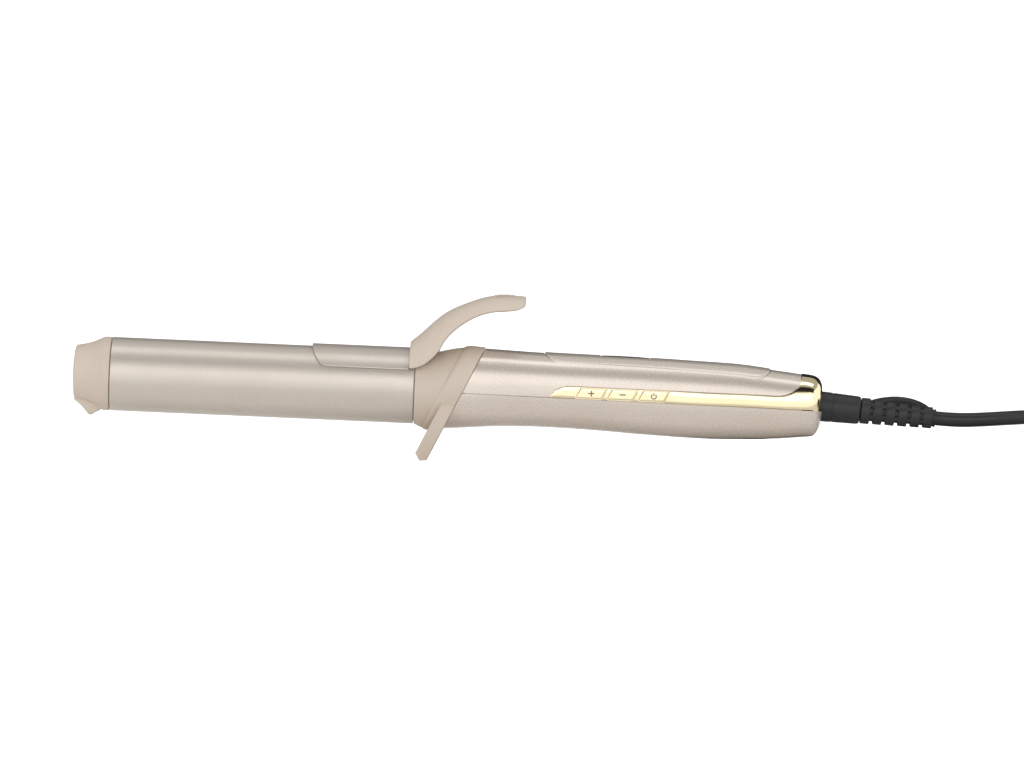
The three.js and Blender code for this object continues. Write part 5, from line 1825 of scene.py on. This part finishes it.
    def button(self, index: int, name: str, body: str, cad: str) -> None:
        """A plated button with a bevelled edge, its inner flange and its printed sign.

        Args:
            index: 0, 1 or 2 from the collar.
            name: the piece's name.
            body: the key's body.
            cad: the CAD node that it stands for.
        """
        form, length = self.form, self.button_length
        middle = self.button_first + index * self.button_pitch + length / 2
        face = -form.sizes(middle)[0] - self.trim_proud - 0.6
        narrow = min(form.sizes(middle + share * length)[0] for share in (-0.75, 0.75))
        flange = self.wall + GAP + 0.2 - narrow
        rows = [(flange + 1, 0.7), (flange, 0.7), (flange - 0.001, 0.0), (face + 0.45, 0.0), (face + 0.38, -0.02)]
        rows += [(face + 0.08, -0.36), (face + 0.01, -0.46), (face, -0.6), (face - 0.025, -1.2), (face - 0.04, -1.9)]
        rings = []
        for y, grow in rows:
            line = rounded(self.button_corners(index, grow), max(0.75 + grow * 0.3, 0.3), 7)
            rings.append(np.stack([line[:, 0], np.full(len(line), y), line[:, 1]], axis=1))
        piece = lofted(name, rings)
        finished(piece, Place.IRON, GOLD, body, [cad], crease=40)
        corners = np.array(self.button_corners(index, 0))
        cx, cz = corners.mean(axis=0)
        self.sign(index, f"{name}_sign", (float(cx), float(cz)), face - 0.07, body)

    def sign(self, index: int, name: str, middle: Flat, face: float, body: str) -> None:
        """A button's printed sign: plus, minus or power.

        Args:
            index: which sign.
            name: the piece's name.
            middle: its x and z.
            face: its outer y.
            body: the key's body.
        """
        arm, thick = 1.35, 0.27
        x, z = middle
        bar = [(x - arm, z - thick), (x + arm, z - thick), (x + arm, z + thick), (x - arm, z + thick)]
        if index == 0:
            post = [(x - thick, z - arm), (x + thick, z - arm), (x + thick, z + arm), (x - thick, z + arm)]
            piece = shaped(
                prism(name, rounded(bar, 0.12, 4), face, face + 0.4),
                "UNION",
                prism("post", rounded(post, 0.12, 4), face, face + 0.4),
            )
        elif index == 1:
            piece = prism(name, rounded(bar, 0.12, 4), face, face + 0.4)
        else:
            arc = np.radians(np.linspace(128, 412, 49))
            ring = [(x + 1.3 * math.cos(a), z - 0.1 + 1.3 * math.sin(a)) for a in arc]
            ring += [(x + 0.83 * math.cos(a), z - 0.1 + 0.83 * math.sin(a)) for a in arc[::-1]]
            stem = [(x - 0.23, z + 0.15), (x + 0.23, z + 0.15), (x + 0.23, z + 1.5), (x - 0.23, z + 1.5)]
            piece = joined(
                name,
                [prism("arc", ring, face, face + 0.4), prism("stem", rounded(stem, 0.1, 4), face, face + 0.4)],
            )
        finished(piece, Place.IRON, INK, body)

    def screw_pair(self) -> None:
        """The two shell screws, up inside the handle's underside."""
        profile = [(-11.4, 0.0), (-11.4, 1.9), (-11.25, 2.35), (-10.9, 2.62), (-9.7, 2.7), (-9.4, 2.6), (-9.4, 1.2)]
        profile += [(5.8, 1.2), (6.5, 0.6), (6.5, 0.0)]
        screw = turned("screw", profile, 40)
        screw.data.transform(Matrix.Rotation(-math.pi / 2, 4, "Y"))
        for spin in (0, math.pi / 2):
            slot_cut = prism("slot", [(-1.5, -11.6), (1.5, -11.6), (1.1, -10.5), (-1.1, -10.5)], -0.3, 0.3)
            slot_cut.data.transform(Matrix.Rotation(spin, 4, "Z"))
            shaped(screw, "DIFFERENCE", slot_cut)
        places = [((x, 0, 0), (0, 0, 25 + 40 * i), (1, 1, 1)) for i, x in enumerate(self.screws)]
        piece = repeated("shell_screws", screw, places, STEEL)
        finished(piece, Place.IRON, STEEL, "iron", ["shell_screw_1", "shell_screw_2"])

    def build(self) -> None:
        """Builds the whole handle."""
        upper = self.shell("handle_upper", True)
        finished(upper, Place.IRON, PEARL, "iron", ["upper_shell"], crease=25)
        lower = self.shell("handle_lower", False)
        finished(lower, Place.IRON, PEARL, "iron", ["lower_shell"], crease=25)
        self.trim()
        self.panel()
        self.lens()
        for index, word in enumerate(("plus", "minus", "power")):
            self.button(index, f"{word}_cap", f"{word}_key", f"{word}_button")
        self.screw_pair()


# ---------------------------------------------------------------- swivel and strain relief


@dataclass
class Swivel:
    """The cord swivel's sleeve and the strain relief with its hanging loop, along the swivel's axis.

    Attributes:
        relief: where the strain relief starts and ends.
        radii: its radius at both.
        ridges: how many ridges it has.
        bore: the radius of the hole for the cord.
    """

    relief: Flat = (16.9, 49.6)
    radii: Flat = (5.7, 4.55)
    ridges: int = 6
    bore: float = 3.4

    def sleeve(self) -> None:
        """The sleeve that turns in the handle's end."""
        profile = [
            (-14.6, 1.7), (-14.6, 4.0), (-14.4, 4.2), (-7.8, 4.2), (-7.8, 7.8), (-7.6, 8.0), (-5.4, 8.0), (-5.2, 7.8),
            (-5.2, 6.5), (1.5, 6.5), (4.0, 6.42), (4.25, 6.2), (4.6, 6.2), (4.85, 6.38), (10, 6.22), (15.2, 6.06),
            (15.9, 5.95), (16.35, 5.65), (16.6, 5.2), (16.6, 3.4), (2.0, 3.4), (0, 1.7),
        ]
        piece = turned("swivel_cover", profile, 96)
        finished(piece, Place.SWIVEL, RUBBER, "cord_swivel", ["swivel_sleeve"])

    def radius(self, x: float) -> float:
        """The ridges' radius along the relief."""
        t = (x - self.relief[0]) / (self.relief[1] - self.relief[0])
        return self.radii[0] + (self.radii[1] - self.radii[0]) * t

    def core(self) -> bpy.types.Object:
        """The relief's tapering core."""
        start, end = self.relief
        profile = [(start, self.bore), (start, self.radius(start) - 0.5)]
        profile += [(x, max(self.radius(x) - 1.3, self.bore + 0.3)) for x in np.linspace(start + 1, end - 1, 12)]
        profile += [(end - 0.2, self.bore + 0.6), (end, self.bore + 0.3), (end, self.bore)]
        return turned("core", profile, 72)

    def ribs(self) -> bpy.types.Object:
        """The relief's ridges, each smaller than the one before, and the webs between them."""
        start, end = self.relief
        pitch = (end - start) / self.ridges
        long = pitch - 1.5
        unit = [
            (0.0, 0.76), (0.0, 0.93), (0.08, 0.975), (0.3, 1.0), (long - 0.3, 1.0), (long - 0.08, 0.975),
            (long, 0.93), (long, 0.76),
        ]
        ridge = turned("ridge", unit, 72)
        places = []
        for i in range(self.ridges):
            size = self.radius(start + i * pitch + long / 2)
            places.append(((start + i * pitch, 0, 0), (0, 0, 0), (1, size, size)))
        made = repeated("strain_relief_boot", ridge, places, RUBBER)
        half, thick = 0.95, 0.17
        section = rounded([(-thick, -half), (thick, -half), (thick, half), (-thick, half)], 0.05, 4)
        web = prism("web", section, -half, half, "x")
        places = []
        for i in range(self.ridges - 1):
            size = self.radius(start + (i + 1) * pitch)
            for turn in (58, 118):
                places.append(((start + (i + 1) * pitch - 0.75, 0, 0), (turn, 0, 0), (1, size, size)))
        webs = repeated("webs", web, places, RUBBER)
        shaped(webs, "DIFFERENCE", rod("bore", (0, 0, 0), (80, 0, 0), self.bore + 0.1, 70))
        return shaped(made, "UNION", webs)

    def loop(self) -> bpy.types.Object:
        """The hanging loop, a flat strap bowed out beside the relief."""
        start, end, reach = 19.5, 46.5, 20.4
        inset = 2.6
        line = []
        for angle in np.linspace(0, math.pi, 61):
            share = (1 - math.cos(angle)) / 2
            rise = math.sin(math.pi * share**1.3) ** 0.5 if 0 < share < 1 else 0.0
            line.append((start + (end - start) * share, 0.0, inset + (reach - inset) * rise))
        section = oval(2.5, 1.85, -1.85, 3.2, 36)
        strap = swept("strap", np.array(line), section[:, ::-1], up=(0, 1, 0))
        strap.data.transform(Matrix.Rotation(-math.radians(75), 4, "X"))
        return shaped(strap, "DIFFERENCE", rod("bore", (0, 0, 0), (80, 0, 0), self.bore + 0.15, 70))

    def build(self) -> None:
        """Builds the sleeve and the strain relief."""
        self.sleeve()
        piece = shaped(self.ribs(), "UNION", self.core(), self.loop())
        finished(piece, Place.SWIVEL, RUBBER, "cord_swivel", ["strain_relief"])


# ---------------------------------------------------------------- inner pieces


@dataclass
class Insides:
    """The CAD's own pieces inside the iron, each in its real material."""

    finishes: dict[str, Finish] = field(
        default_factory=lambda: {
            "tip_holder": CERAMIC, "heater_core": CERAMIC, "heat_spreader": ALUMINIUM, "spreader_spring": STEEL,
            "thermistor": CERAMIC, "barrel_socket": CERAMIC, "hinge_pin": STEEL, "lever_spring": STEEL,
            "clamp_rivet": STEEL, "button_board": BOARD, "tact_switch": COMPONENT, "board_screw": STEEL,
            "control_board": BOARD, "film_capacitor": COMPONENT, "triac": COMPONENT, "microcontroller": COMPONENT,
            "display_module": COMPONENT, "thermal_fuse": BRASS, "heater_lead": SLEEVE, "sensor_lead": SLEEVE,
            "supply_lead": SLEEVE, "swivel_housing": COMPONENT, "contact_ring": BRASS, "contact_brush": BRASS,
        }
    )

    def build(self) -> None:
        """Dresses each piece that no other one stands for."""
        for name, piece in frame["nodes"].items():
            found = [finish for start, finish in self.finishes.items() if name.startswith(start)]
            if found:
                piece.data.materials.clear()
                piece.data.materials.append(found[0].material())
                log.info("%s: %s", name, found[0].name)


def main() -> None:
    """Builds the studio, then the iron's sub-assemblies in order."""
    logging.basicConfig(level=logging.INFO, format="%(message)s")
    Studio().build()
    Cord().build()
    form = HandleForm()
    for part in (Barrel(), Clamp(), Collar(form), Handle(form), Swivel(), Insides()):
        part.build()
        log.info("%s is built", type(part).__name__)


if __name__ == "__main__":
    main()
